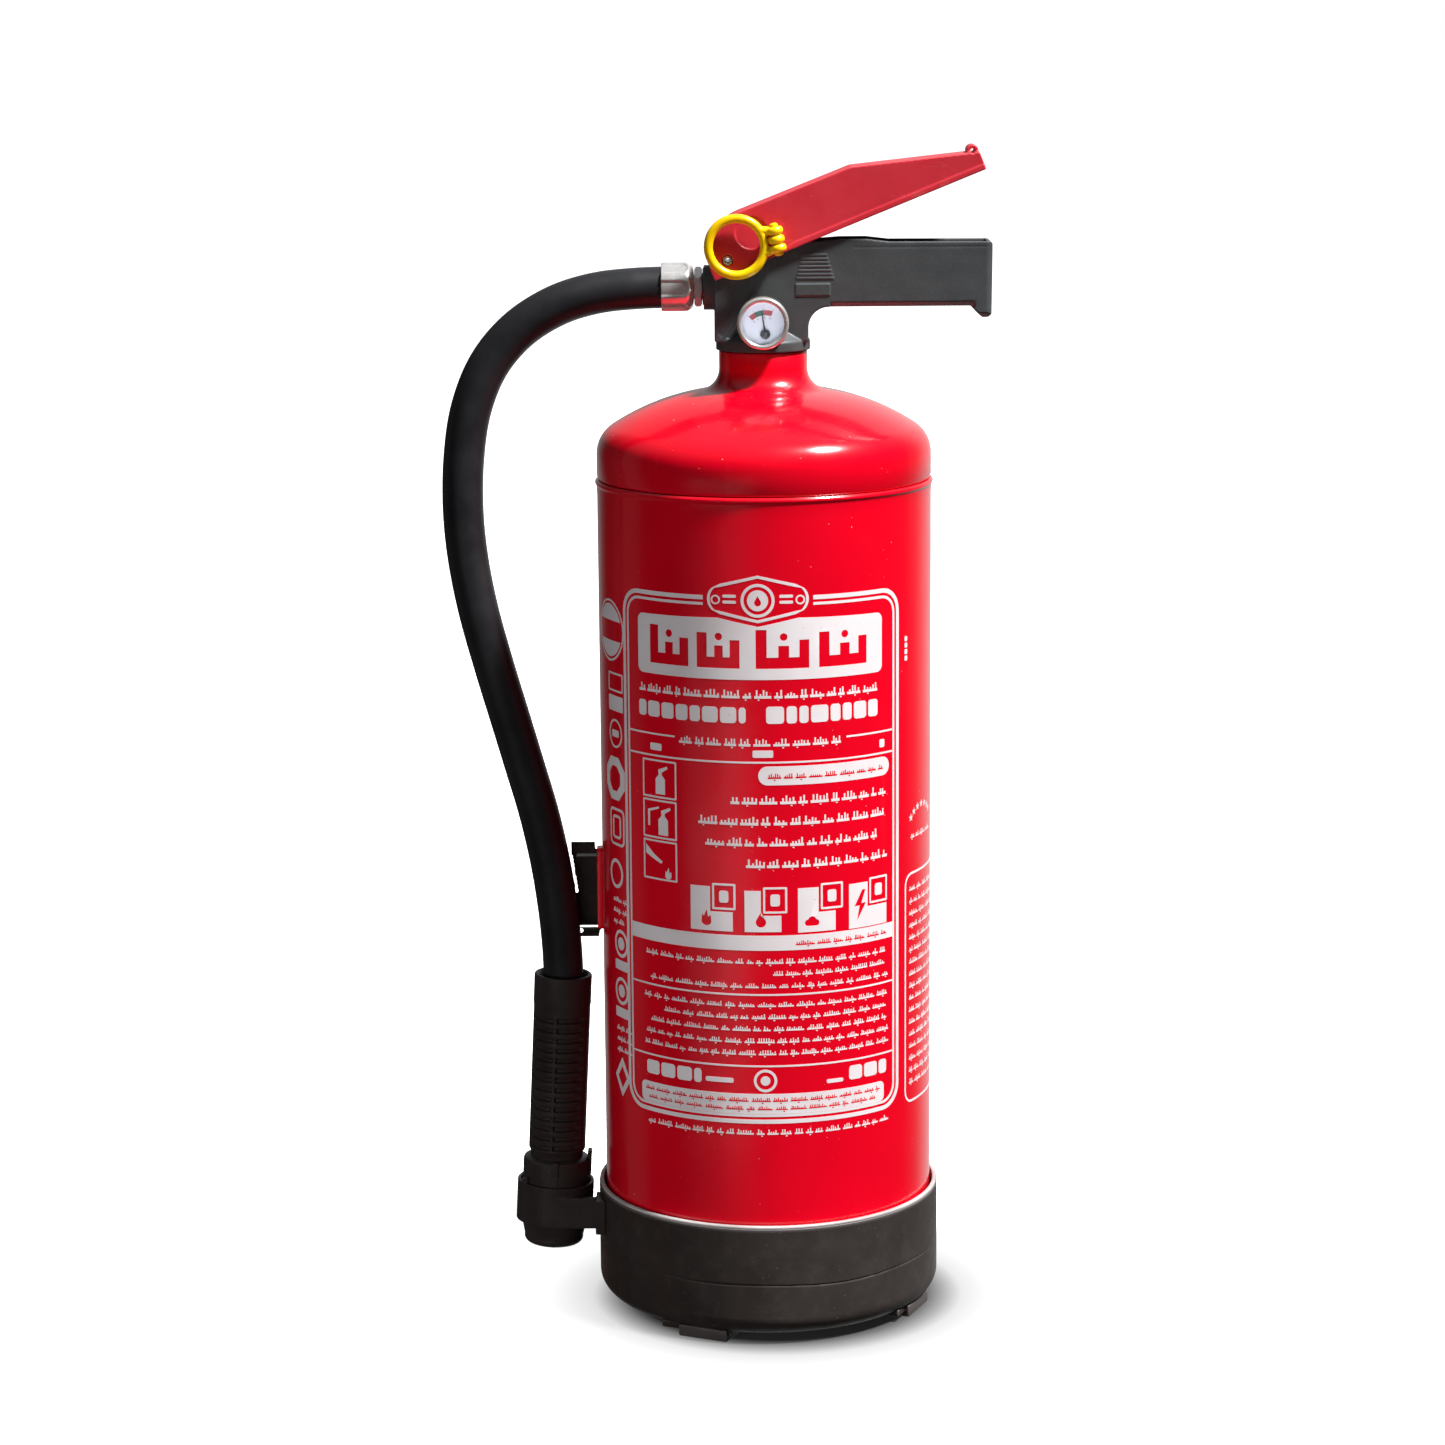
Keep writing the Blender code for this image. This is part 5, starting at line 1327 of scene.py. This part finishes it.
# Shallow marks in the cheeks, as (outline, half depth): the rib beside the gauge, a corner panel,
# and the lines along the handle's top and down its end.
RELIEF = (
    ([(-0.0164, 0.4388), (-0.0098, 0.4388), (-0.0098, 0.4512)], 0.0009),
    ([(-0.0204, 0.4412), (-0.0180, 0.4392), (-0.0098, 0.4536), (-0.0098, 0.4572)], 0.0005),
    (bar(-0.0104, 0.4620, -0.0100, 0.4800), 0.0005),
    (bar(0.040, 0.4785, 0.1000, 0.4791), 0.0004),
    (bar(0.0998, 0.4500, 0.1003, 0.4791), 0.0004),
)


def body_relief():
    """The shallow marks in the two cheeks."""
    at = BODY_HALF + 0.0002
    return [side_plate(outline, half, face * at) for face in CHEEKS for outline, half in RELIEF]


def body_plate_ribs():
    """The plain raised plate on the handle's root, with a few level ribs above it."""
    solids = []
    for face in CHEEKS:
        y = face * BODY_HALF
        solids.append(side_plate(bar(0.0146, 0.4578, 0.0296, 0.4628), 0.00045, y))
        for index in range(7):
            low = 0.4650 + 0.0017 * index
            rib = bar(0.0150 + 0.0004 * index, low, 0.0312 - 0.0005 * index, low + 0.0007)
            solids.append(side_plate(rib, 0.00035, y))
    return solids


def long_chamfer(start, end, z, size):
    """The two corners cut off along the handle's lower edge, from start to end along X."""
    solids = []
    along_x = Matrix(((0, 0, 1, (start + end) / 2), (1, 0, 0, 0), (0, 1, 0, 0), (0, 0, 0, 1)))
    for face in CHEEKS:
        side, inner = face * (BODY_HALF + MM), face * (BODY_HALF - size - MM)
        solid = flat_shapes(
            [[(side, z - MM), (side, z + size + MM), (inner, z - MM)]], (end - start) / 2
        )
        solid.data.transform(along_x)
        solids.append(solid)
    return solids


def end_corners(radius):
    """The two upright corners rounded off at the handle's end."""
    solids = []
    for face in CHEEKS:
        at = (HANDLE_END_X - radius, BODY_HALF - radius)
        points = arc(at, radius, 0, 90, 8)
        points += [
            (at[0], BODY_HALF + MM), (HANDLE_END_X + MM, BODY_HALF + MM), (HANDLE_END_X + MM, at[1])
        ]
        solid = flat_shapes([[(x, face * y) for x, y in points]], THROUGH)
        solid.data.transform(Matrix.Translation((0, 0, HANDLE_UNDER_Z)))
        solids.append(solid)
    return solids


def valve_body():
    """The black moulding: valve block, neck skirt, two bosses and the channelled handle."""
    base = side_plate(body_side_view(), BODY_HALF)
    skirt_z = NECK_TOP_Z + 0.0003
    skirt = [(0, 0.4416), (0.0160, 0.4416), (0.0206, 0.4380), (0.0210, 0.4372)]
    skirt += [(0.0210, skirt_z), (0, skirt_z)]
    added = [lathe("skirt", skirt)]
    added.append(rod((-0.0263, 0, OUTLET_Z), (0, 0, OUTLET_Z), 0.0103))
    added.append(rod((0, GAUGE_SEAT_Y, GAUGE_Z), (0, 0, GAUGE_Z), 0.0085))
    added += body_plate_ribs()
    inside = 0.0092
    removed = [block((0.012, -inside, 0.4556), (HANDLE_END_X - 0.0026, inside, 0.6))]
    removed.append(block((-0.05, -inside, 0.4705), (0.013, inside, 0.6)))
    removed.append(rod((0, 0, 0.4), (0, 0, 0.5), 0.0088))
    removed.append(rod((0, 0, 0.4), (0, 0, 0.4378), 0.0147))
    removed.append(rod((-0.05, 0, OUTLET_Z), (-0.0110, 0, OUTLET_Z), 0.0063))
    removed.append(rod((0, -THROUGH, GAUGE_Z), (0, GAUGE_SEAT_Y, GAUGE_Z), BEZEL_R + 0.0005))
    removed.append(rod((0, -THROUGH, GAUGE_Z), (0, 0, GAUGE_Z), 0.0045))
    removed += [cross_rod(PIVOT.x, PIVOT.z, 0.0024), pin_slot()]
    removed += body_relief() + end_corners(0.003)
    hook = HANDLE_END_X - 0.0080
    removed += long_chamfer(0.030, hook, HANDLE_UNDER_Z, 0.0022)
    removed += long_chamfer(hook, HANDLE_END_X + 0.001, 0.4475, 0.0022)
    body = mould("valve_body_skin", base, added, removed, 0.00036)
    dress(
        body,
        "valve_body_skin",
        "black_moulding",
        replaces=["valve_body"],
        sharp=0,
    )


# ---------------------------------------------------------------- lever, pin and ring

# The lever is drawn level, with its pivot at the origin, and then tilted up to its place.
LEVER_TILT = math.radians(21.9)
LEVER_HALF = 0.0145
LEVER_WALL = 0.0023
LEVER_UNDER = -0.0061
LEVER_TOP = 0.0177
LEVER_REAR_R = 0.0202
LEVER_REAR_CENTRE = 0.0115
LEVER_KINK = (0.0655, LEVER_TOP - 0.0004)
LEVER_TAPER_END = (0.1140, 0.0036)
LEVER_TIP = 0.1203
LEVER_TIP_TOP = 0.0018
LEVER_INSIDE_END = 0.1174
KNOB = (0.1178, 0.0032)
KNOB_R = 0.0027
# A plain round recess in each cheek.
RECESS = (-0.0050, 0.4856)
RECESS_R = 0.0073
PIN = Vector((0.0061, 0, 0.483))


def lever_view(inset, under, end):
    """The lever from the side, shrunk by inset for the hollow under it."""
    rear_z = LEVER_TOP - LEVER_REAR_R
    radius = LEVER_REAR_R - inset
    dip = math.degrees(math.asin(min(1.0, (rear_z - under) / radius)))
    points = arc((LEVER_REAR_CENTRE, rear_z), radius, 180 + dip, 90, 20)
    points.append((LEVER_KINK[0] - inset / 4, LEVER_KINK[1] - inset))
    points.append((LEVER_TAPER_END[0] - inset, LEVER_TAPER_END[1] - inset))
    return points + [(end, LEVER_TIP_TOP - inset), (end, under)]


def in_lever(solid):
    """Moves a solid drawn on the level lever to where the lever rests."""
    solid.data.transform(Matrix.Translation(PIVOT) @ Matrix.Rotation(-LEVER_TILT, 4, "Y"))
    return solid


def rounded_plate(points, half_width, radius, steps=4):
    """A side plate with its outer corners rounded."""
    plate = side_plate(points, half_width)
    bevel = plate.modifiers.new("round", "BEVEL")
    bevel.width = radius
    bevel.segments = steps
    bevel.limit_method = "ANGLE"
    bevel.angle_limit = math.radians(60)
    return bake(plate)


def lever():
    """The red lever: an inverted channel with a flange, a knob and pads over the stem."""
    base = in_lever(rounded_plate(lever_view(0, LEVER_UNDER, LEVER_TIP), LEVER_HALF, 0.0030))
    half_inside = LEVER_HALF - LEVER_WALL
    flange_end = LEVER_TIP - 0.0002
    flange = [(0.0100, LEVER_UNDER), (flange_end, LEVER_UNDER), (flange_end, LEVER_UNDER + 0.0024)]
    flange += [(0.0300, LEVER_UNDER + 0.0024), (0.0240, LEVER_UNDER + 0.0012)]
    knob = in_lever(cross_rod(*KNOB, KNOB_R, 0.007))
    hollow = side_plate(lever_view(LEVER_WALL, LEVER_UNDER - 0.004, LEVER_INSIDE_END), half_inside)
    rear = block((-0.02, -half_inside, -0.02), (0.0, half_inside, 0.0098))
    carve(base, [knob, in_lever(side_plate(flange, LEVER_HALF + 0.00035))])
    carve(base, removed=[in_lever(hollow), in_lever(rear)])
    pads = [in_lever(block((0.0115, -0.006, 0.0100), (0.0245, 0.006, 0.0165)))]
    pads.append(block((-0.0045, -0.006, 0.4813), (0.0045, 0.006, 0.4913)))
    x, z = RECESS
    cuts = [
        rod((x, face * (LEVER_HALF - 0.0006), z), (x, face * 0.02, z), RECESS_R) for face in CHEEKS
    ]
    cuts += [cross_rod(PIVOT.x, PIVOT.z, 0.0025), cross_rod(PIN.x, PIN.z, 0.0022)]
    cuts.append(in_lever(cross_rod(*KNOB, 0.0010)))
    body = mould("lever_skin", base, pads, cuts, 0.00036)
    dress(body, "lever_skin", "red_plastic", "lever", ["lever"], sharp=0)


def pivot_pin():
    """A rolled steel pin: a tube with chamfered ends and a slit along it."""
    half = LEVER_HALF + 0.0003
    profile = [(0.0012, half - 0.0003), (0.0014, half), (0.0018, half), (0.0022, half - 0.0005)]
    profile += [(r, -z) for r, z in profile[::-1]]
    pin = lathe("pivot_pin_skin", profile, 48, closed=True)
    carve(pin, removed=[block((0.0009, -0.0002, -0.02), (0.0030, 0.0002, 0.02))])
    aim(pin, PIVOT, (0, -1, 0))
    dress(pin, "pivot_pin_skin", "chrome", replaces=["lever_pivot_pin"])


LOBE = 0.0036
BARREL_R = 0.0038
SHANK_R = 0.0019
SHANK_END_Y = 0.0162
RING_CENTRE = Vector((-0.0114, -0.0188, 0.4798))
RING_R = 0.0124
RING_TUBE_R = 0.00205


def lobe(middle, length, radius=BARREL_R):
    """A short bulging knuckle on the hinge's line."""
    half = length / 2
    profile = [
        (0, half), (radius * 0.60, half), (radius * 0.86, half * 0.80), (radius * 0.98, half * 0.40)
    ]
    profile += [(radius, 0)] + [(r, -z) for r, z in profile[:0:-1]] + [(0, -half)]
    return aim(lathe("lobe", profile, 48), middle, KNUCKLE_AXIS)


def yellow(piece, name, body, node):
    """Dresses a piece of the pin and its ring."""
    sharp = 40 if node == "ring_hinge_pin" else 0
    dress(piece, name, "yellow_plastic", body, [node], sharp)


def ring_and_pin():
    """The safety pin with its knuckle, the finger ring with its two, and their small pin."""
    axis = KNUCKLE_AXIS
    shank = rod((PIN.x, KNUCKLE.y, PIN.z), (PIN.x, SHANK_END_Y, PIN.z), SHANK_R)
    nose = rod((PIN.x, SHANK_END_Y, PIN.z), (PIN.x, SHANK_END_Y + 0.0004, PIN.z), SHANK_R, 0.0014)
    collar = rod((PIN.x, -0.0168, PIN.z), (PIN.x, -0.0149, PIN.z), 0.0030)
    pin = mould("pin_skin", shank, [nose, collar, lobe(KNUCKLE, LOBE)], voxel=0.00018)
    yellow(pin, "pin_skin", "safety_pin", "safety_pin")
    around = 24
    turns = [FULL_TURN * i / around for i in range(around)]
    section = [
        (RING_R + RING_TUBE_R * math.sin(turn), RING_TUBE_R * math.cos(turn)) for turn in turns
    ]
    ring = aim(lathe("ring", section, 120, closed=True), RING_CENTRE, (0, -1, 0))
    added = []
    for side in (-1, 1):
        middle = KNUCKLE + axis * side * (LOBE + 0.0003)
        toward = (RING_CENTRE - middle).normalized()
        root = RING_CENTRE - toward * (RING_R - 0.0004) + axis * side * 0.0024
        added += [lobe(middle, LOBE), rod(root, middle, 0.0021, 0.0017, 32)]
    reach = axis * (LOBE / 2 + 0.0002)
    removed = [rod(KNUCKLE - reach, KNUCKLE + reach, BARREL_R + 0.0003)]
    yellow(
        mould("ring_skin", ring, added, removed, 0.0002, 4), "ring_skin", "pull_ring", "pull_ring"
    )
    end = 0.0073
    profile = [(0, end), (0.0010, end), (0.0018, end - 0.0005), (0.0020, end - 0.0012)]
    profile += [(0.0019, end - 0.0020)]
    profile += [(r, -z) for r, z in profile[::-1]]
    hinge = aim(lathe("hinge_pin_skin", profile, 40), KNUCKLE, axis)
    yellow(hinge, "hinge_pin_skin", "safety_pin", "ring_hinge_pin")


# ---------------------------------------------------------------- gauge

GAUGE_TURN = math.radians(12)
DIAL_R = 0.0098
DIAL_DEPTH = 0.0240
INK = 0.00004
HUB_DROP = 0.0049
# Angles clockwise from the top, round the needle's hub.
GREEN_FROM, GREEN_TO, SCALE_END = -15, 8, 31
NEEDLE_TURN = math.radians(8.5)
NEEDLE_LENGTH = 0.0098
DIAL_NUMBERS = (("0", -29, 0.0069), ("12", -14, 0.0070), ("16", 8, 0.0070), ("24", 29, 0.0069))
NUMBER_SIZE = 0.0012


def on_gauge(obj):
    """Turns a piece made on +Z, whose height is its depth, to the front of the valve body."""
    turn = Matrix.Rotation(math.pi / 2, 4, "X") @ Matrix.Rotation(GAUGE_TURN, 4, "Z")
    obj.data.transform(Matrix.Translation((0, 0, GAUGE_Z)) @ turn)
    return obj


def gauge_part(name, profile, sides, look, replaces, closed=False):
    """A turned part of the gauge."""
    part = on_gauge(lathe(name, profile, sides, closed))
    dress(part, name, look, replaces=[replaces])


def dial_band(start, end):
    """One coloured stretch of the scale."""
    outer = arc((0, -HUB_DROP), 0.0106, 90 - start, 90 - end, 10)
    inner = arc((0, -HUB_DROP), 0.0083, 90 - end, 90 - start, 10)
    return outer + inner


def dial_tick(turn):
    """A short line outside the coloured scale."""
    angle = math.radians(turn)
    line = bar(-0.00008, 0.0108, 0.00008, 0.0114)
    sine, cosine = math.sin(angle), math.cos(angle)
    return [(x * cosine + y * sine, y * cosine - x * sine - HUB_DROP) for x, y in line]


def dial_print(name, outlines, look):
    """Ink on the dial."""
    plate = flat_shapes(outlines, INK)
    plate.data.transform(Matrix.Translation((0, 0, DIAL_DEPTH + 0.00005)))
    dress(on_gauge(plate), name, look)


def dial_numbers():
    """The scale's numbers, set round the hub under the coloured band."""
    joined = bmesh.new()
    for text, turn, reach in DIAL_NUMBERS:
        curve = bpy.data.curves.new("number", "FONT")
        curve.body = text
        curve.size = NUMBER_SIZE
        curve.align_x = "CENTER"
        curve.extrude = INK
        drawn = link("number", curve)
        mesh = evaluated_mesh(drawn)
        bpy.data.objects.remove(drawn)
        angle = math.radians(turn)
        spot = (reach * math.sin(angle), reach * math.cos(angle) - HUB_DROP, DIAL_DEPTH + 0.00006)
        mesh.transform(Matrix.Translation(spot) @ Matrix.Rotation(-angle, 4, "Z"))
        joined.from_mesh(mesh)
    bmesh.ops.remove_doubles(joined, verts=joined.verts, dist=10 * TINY)
    numbers = link("dial_numbers", meshed("dial_numbers", joined))
    dress(on_gauge(numbers), "dial_numbers", "dial_ink")


def gauge():
    """The pressure gauge with all its pieces. Profiles are (radius, depth)."""
    rim, edge = BEZEL_R, BEZEL_R - 0.0002
    profile = [(0.0109, 0.0262), (0.0096, 0.0264), (0.0094, 0.0269), (0.0098, 0.0274)]
    profile += arc((rim - 0.0011, 0.0276 - 0.0011), 0.0011, 100, 0, 8)
    profile += [(rim, 0.0222), (edge, 0.0216), (rim, 0.0210), (rim, 0.0204), (0.0109, 0.0204)]
    gauge_part("bezel_skin", profile, 128, "chrome", "gauge_bezel", closed=True)
    case = [(0, 0.0090), (0.0042, 0.0092), (0.0042, 0.0176), (0.0100, 0.0176), (0.0106, 0.0182)]
    case += [(0.0106, 0.0240), (0.0101, 0.0240), (0.0101, 0.0184), (0, 0.0184)]
    gauge_part("case_skin", case[::-1], 96, "chrome", "gauge_case")
    plate = [(0, DIAL_DEPTH), (DIAL_R - 0.0003, DIAL_DEPTH), (DIAL_R - 0.0002, DIAL_DEPTH - 0.0001)]
    plate += [(DIAL_R - 0.0002, DIAL_DEPTH - 0.0005), (0, DIAL_DEPTH - 0.0005)]
    gauge_part("dial_plate", plate, 96, "dial_white", "gauge_dial")
    reds = [dial_band(-SCALE_END, GREEN_FROM), dial_band(GREEN_TO, SCALE_END)]
    dial_print("dial_red_bands", reds, "dial_red")
    dial_print("dial_green_band", [dial_band(GREEN_FROM, GREEN_TO)], "dial_green")
    ticks = [dial_tick(turn) for turn in (-SCALE_END, GREEN_FROM, GREEN_TO, SCALE_END)]
    dial_print("dial_ticks", ticks, "dial_ink")
    dial_numbers()
    needle()
    dome = [(0, 0.0266), (0.0045, 0.02657), (0.0080, 0.02648), (0.0097, 0.0264), (0.0100, 0.0262)]
    dome += [(0.0100, 0.0256), (0, 0.0256)]
    gauge_part("lens_skin", dome, 96, "gauge_glass", "gauge_lens")


def needle():
    """The pointer with its round hub, on its own joint."""
    tip = NEEDLE_LENGTH
    blade = arc((0, 0), 0.0022, 102, 438, 20)
    blade += [(0.00030, 0.0046), (0.00014, tip), (-0.00014, tip), (-0.00030, 0.0046)]
    pointer = flat_shapes([blade], 0.00016)
    cap = lathe(
        "cap", [(0, 0.00062), (0.0017, 0.00052), (0.0021, 0.00030), (0.0021, 0), (0, 0)], 48
    )
    carve(pointer, [cap, rod((0, 0, -0.0020), (0, 0, 0.0001), 0.0008)])
    turn = Matrix.Rotation(NEEDLE_TURN - GAUGE_TURN, 4, "Z")
    pointer.data.transform(Matrix.Translation((0, -HUB_DROP, DIAL_DEPTH + 0.0007)) @ turn)
    dress(on_gauge(pointer), "needle_skin", "needle_paint", "needle", ["gauge_needle"])


# ---------------------------------------------------------------- fitting, ferrule, holder and clip


def toward_hose(obj):
    """Turns a piece made on +Z, its height the distance from the vessel's axis, to the hose."""
    return aim(obj, Vector((0, 0, OUTLET_Z)), Vector((-1, 0, 0)))


def fitting():
    """The union: a chamfered hexagon on its threaded neck."""
    sides = 6

    def hexagon(turn, radius, height):
        if radius < 0.0070:
            return radius
        flat = 0.0089 * math.cos(math.pi / sides)
        within = math.remainder(turn - math.pi / 6, FULL_TURN / sides)
        return min(radius, flat / math.cos(within))

    profile = [
        (0.0035, 0.0318), (0.0055, 0.0318), (0.0055, 0.0304), (0.0078, 0.0304), (0.0084, 0.0301)
    ]
    profile += [
        (0.0089, 0.0296), (0.0089, 0.0278), (0.0084, 0.0273), (0.0078, 0.0270), (0.0060, 0.0270)
    ]
    threads = 12
    for index in range(threads):
        z = 0.0266 - 0.0011 * index
        profile += [(0.0060, z), (0.00575, z - 0.00055)]
    profile += [(0.0058, 0.0114), (0.0035, 0.0114)]
    nut = lathe("fitting_skin", profile, 144, closed=True, shape=hexagon)
    dress(
        toward_hose(nut),
        "fitting_skin",
        "dull_steel",
        replaces=["hose_fitting"],
        sharp=25,
    )


FLUTES = 6
FLUTE_HALF = math.radians(21)


def flute(turn, radius, height):
    """Crimped flutes: long hollows open towards the hose, with a round end near the shoulder."""
    if radius < 0.0100:
        return radius
    across = abs(math.remainder(turn - math.radians(90), FULL_TURN / FLUTES)) / FLUTE_HALF
    along = max(0.0, (0.0362 - height) / 0.0034)
    depth = 1 - smoothstep(0.72, 1.0, math.hypot(across, along))
    return radius - 0.0008 * depth


def ferrule():
    """The crimped chrome sleeve over the hose's end."""
    end, start = 0.0451, 0.0307
    outer = 0.0108
    profile = [(0.0095, end - 0.0008), (0.0097, end), (outer - 0.0003, end), (outer, end - 0.0003)]
    steps = 48
    top, low = end - 0.0004, start + 0.0038
    profile += [(outer, top + (low - top) * i / steps) for i in range(steps + 1)]
    profile += arc((outer - 0.0036, start + 0.0036), 0.0036, 0, -70, 8)
    profile += [
        (0.0070, start), (0.0058, start), (0.0058, start + 0.0010), (0.0095, start + 0.0010)
    ]
    sleeve = lathe("ferrule_skin", profile, 192, closed=True, shape=flute)
    dress(toward_hose(sleeve), "ferrule_skin", "chrome", replaces=["ferrule"], sharp=50)


HOLDER_Z = (0.0290, 0.0480)
HOLDER_R = 0.0178
HOLDER_CLEAR_R = 0.0162


def nozzle_holder():
    """The ring that holds the nozzle, its flat arm and the flange on the boot."""
    low, high = HOLDER_Z
    axis = (NOZZLE_TOP - NOZZLE_TIP).normalized()
    share = (NOZZLE_TOP.z - (low + high) / 2) / (NOZZLE_TOP.z - NOZZLE_TIP.z)
    middle = NOZZLE_TOP.lerp(NOZZLE_TIP, share)
    half = axis * (high - low) / 2
    ring = rod(middle - half, middle + half, HOLDER_R, sides=96)
    arm_low, arm_high = 0.0290, 0.0436
    added = [block((-0.0995, -HOLDER_R, arm_low), (-0.0735, -HOLDER_R + 0.0030, arm_high), 0.0003)]
    added.append(
        block((-0.0795, -0.0245, arm_low - 0.0008), (-0.0700, -0.0085, arm_high + 0.0006), 0.0005)
    )
    tab = [
        (-0.1128, 0.0468),
        (-0.1095, 0.0468),
        (-0.1085, 0.0530),
        (-0.1112, 0.0522),
        (-0.1142, 0.0500),
    ]
    added.append(side_plate(tab, 0.0022, -0.008))
    removed = [rod(middle - axis * 0.05, middle + axis * 0.05, HOLDER_CLEAR_R, sides=96)]
    removed.append(rod((0, 0, 0), (0, 0, 0.1), BOOT_R + 0.0002, sides=128))
    skin = mould("holder_skin", ring, added, removed)
    dress(
        skin, "holder_skin", "nozzle_rubber", replaces=["nozzle_holder"], sharp=0
    )


CLIP_AT = Vector((-0.0977, 0, 0.1902))
CLIP_TILT = math.radians(8.4)
CLIP_R = 0.0123
CLIP_CLEAR_R = 0.0097
LUG_ROOM = 0.0003


def clip():
    """The spring clip round the hose, its front flap and the block that slides over the lug."""
    axis = Vector((-math.sin(CLIP_TILT), 0, math.cos(CLIP_TILT)))
    half = axis * 0.0088
    ring = rod(CLIP_AT - half, CLIP_AT + half, CLIP_R, sides=96)
    wedge = flat_shapes([[(0.0, 0.0)] + arc((0.0, 0.0), 0.05, 112, 257, 3)], 0.02)
    wedge.data.transform(Matrix.Translation(CLIP_AT))
    carve(ring, removed=[wedge])
    added = [block((-0.0872, -0.0118, 0.1665), (-0.0757, 0.0075, 0.2040), 0.0006)]
    added.append(block((-0.0905, -0.0050, 0.1690), (-0.0778, 0.0075, 0.2075), 0.0006))
    low, high = node_box("clip_lug")
    room = Vector((LUG_ROOM, LUG_ROOM, LUG_ROOM))
    removed = [rod(CLIP_AT - axis * 0.05, CLIP_AT + axis * 0.05, CLIP_CLEAR_R, sides=96)]
    removed.append(rod((0, 0, 0.1), (0, 0, 0.3), VESSEL_R + 0.0007, sides=160))
    removed.append(block(low - room, high + room))
    skin = mould("clip_skin", ring, added, removed)
    dress(skin, "clip_skin", "clip_plastic", replaces=["hose_clip"], sharp=0)


def lug():
    """The red lug on the vessel that carries the hose clip."""
    low, high = node_box("clip_lug")
    base = block(low, (-0.0735, high.y, high.z), 0.0005)
    wall = rod((0, 0, 0.1), (0, 0, 0.3), VESSEL_R - 0.0001, sides=160)
    skin = mould("lug_skin", base, removed=[wall], relax=4)
    dress(skin, "lug_skin", "red_paint", replaces=["clip_lug"], sharp=0)


# ---------------------------------------------------------------- inner pieces and the scene

INNER_LOOKS = {
    "neck_collar": "steel",
    "powder_charge": "powder",
    "valve_core": "brass",
    "neck_seal": "seal_rubber",
    "gland_nut": "brass",
    "stem_oring": "seal_rubber",
    "siphon_adapter": "grey_plastic",
    "dip_tube": "grey_plastic",
    "valve_stem": "steel",
    "stem_seal": "seal_rubber",
    "stem_spring": "steel",
    "gauge_seal": "seal_rubber",
    "bourdon_tube": "brass",
    "fitting_seal": "seal_rubber",
}


def dress_inner_nodes():
    """Gives the hidden pieces, which are shown as the frame has them, their looks."""
    for name, look in INNER_LOOKS.items():
        slots = NODES[name].data.materials
        slots.clear()
        slots.append(LOOKS[look])


place_camera()
studio_world()
area_light("key", 64, 57, 4.6, (0.55, 0.55), 560)
bounce = area_light("bounce", -32, 2, 0.62, (0.5, 0.3), 1.6, centre=(0, 0, 0.06))
bounce.visible_glossy = False
floor()
LOOKS = make_looks()
hose_piece, hose_length = hose()
vessel()
boot()
screen_prints()
valve_body()
lever()
pivot_pin()
ring_and_pin()
gauge()
fitting()
ferrule()
grip_piece = nozzle_grip()
cup_piece = nozzle_cup()
nozzle_holder()
clip()
lug()
dress_inner_nodes()
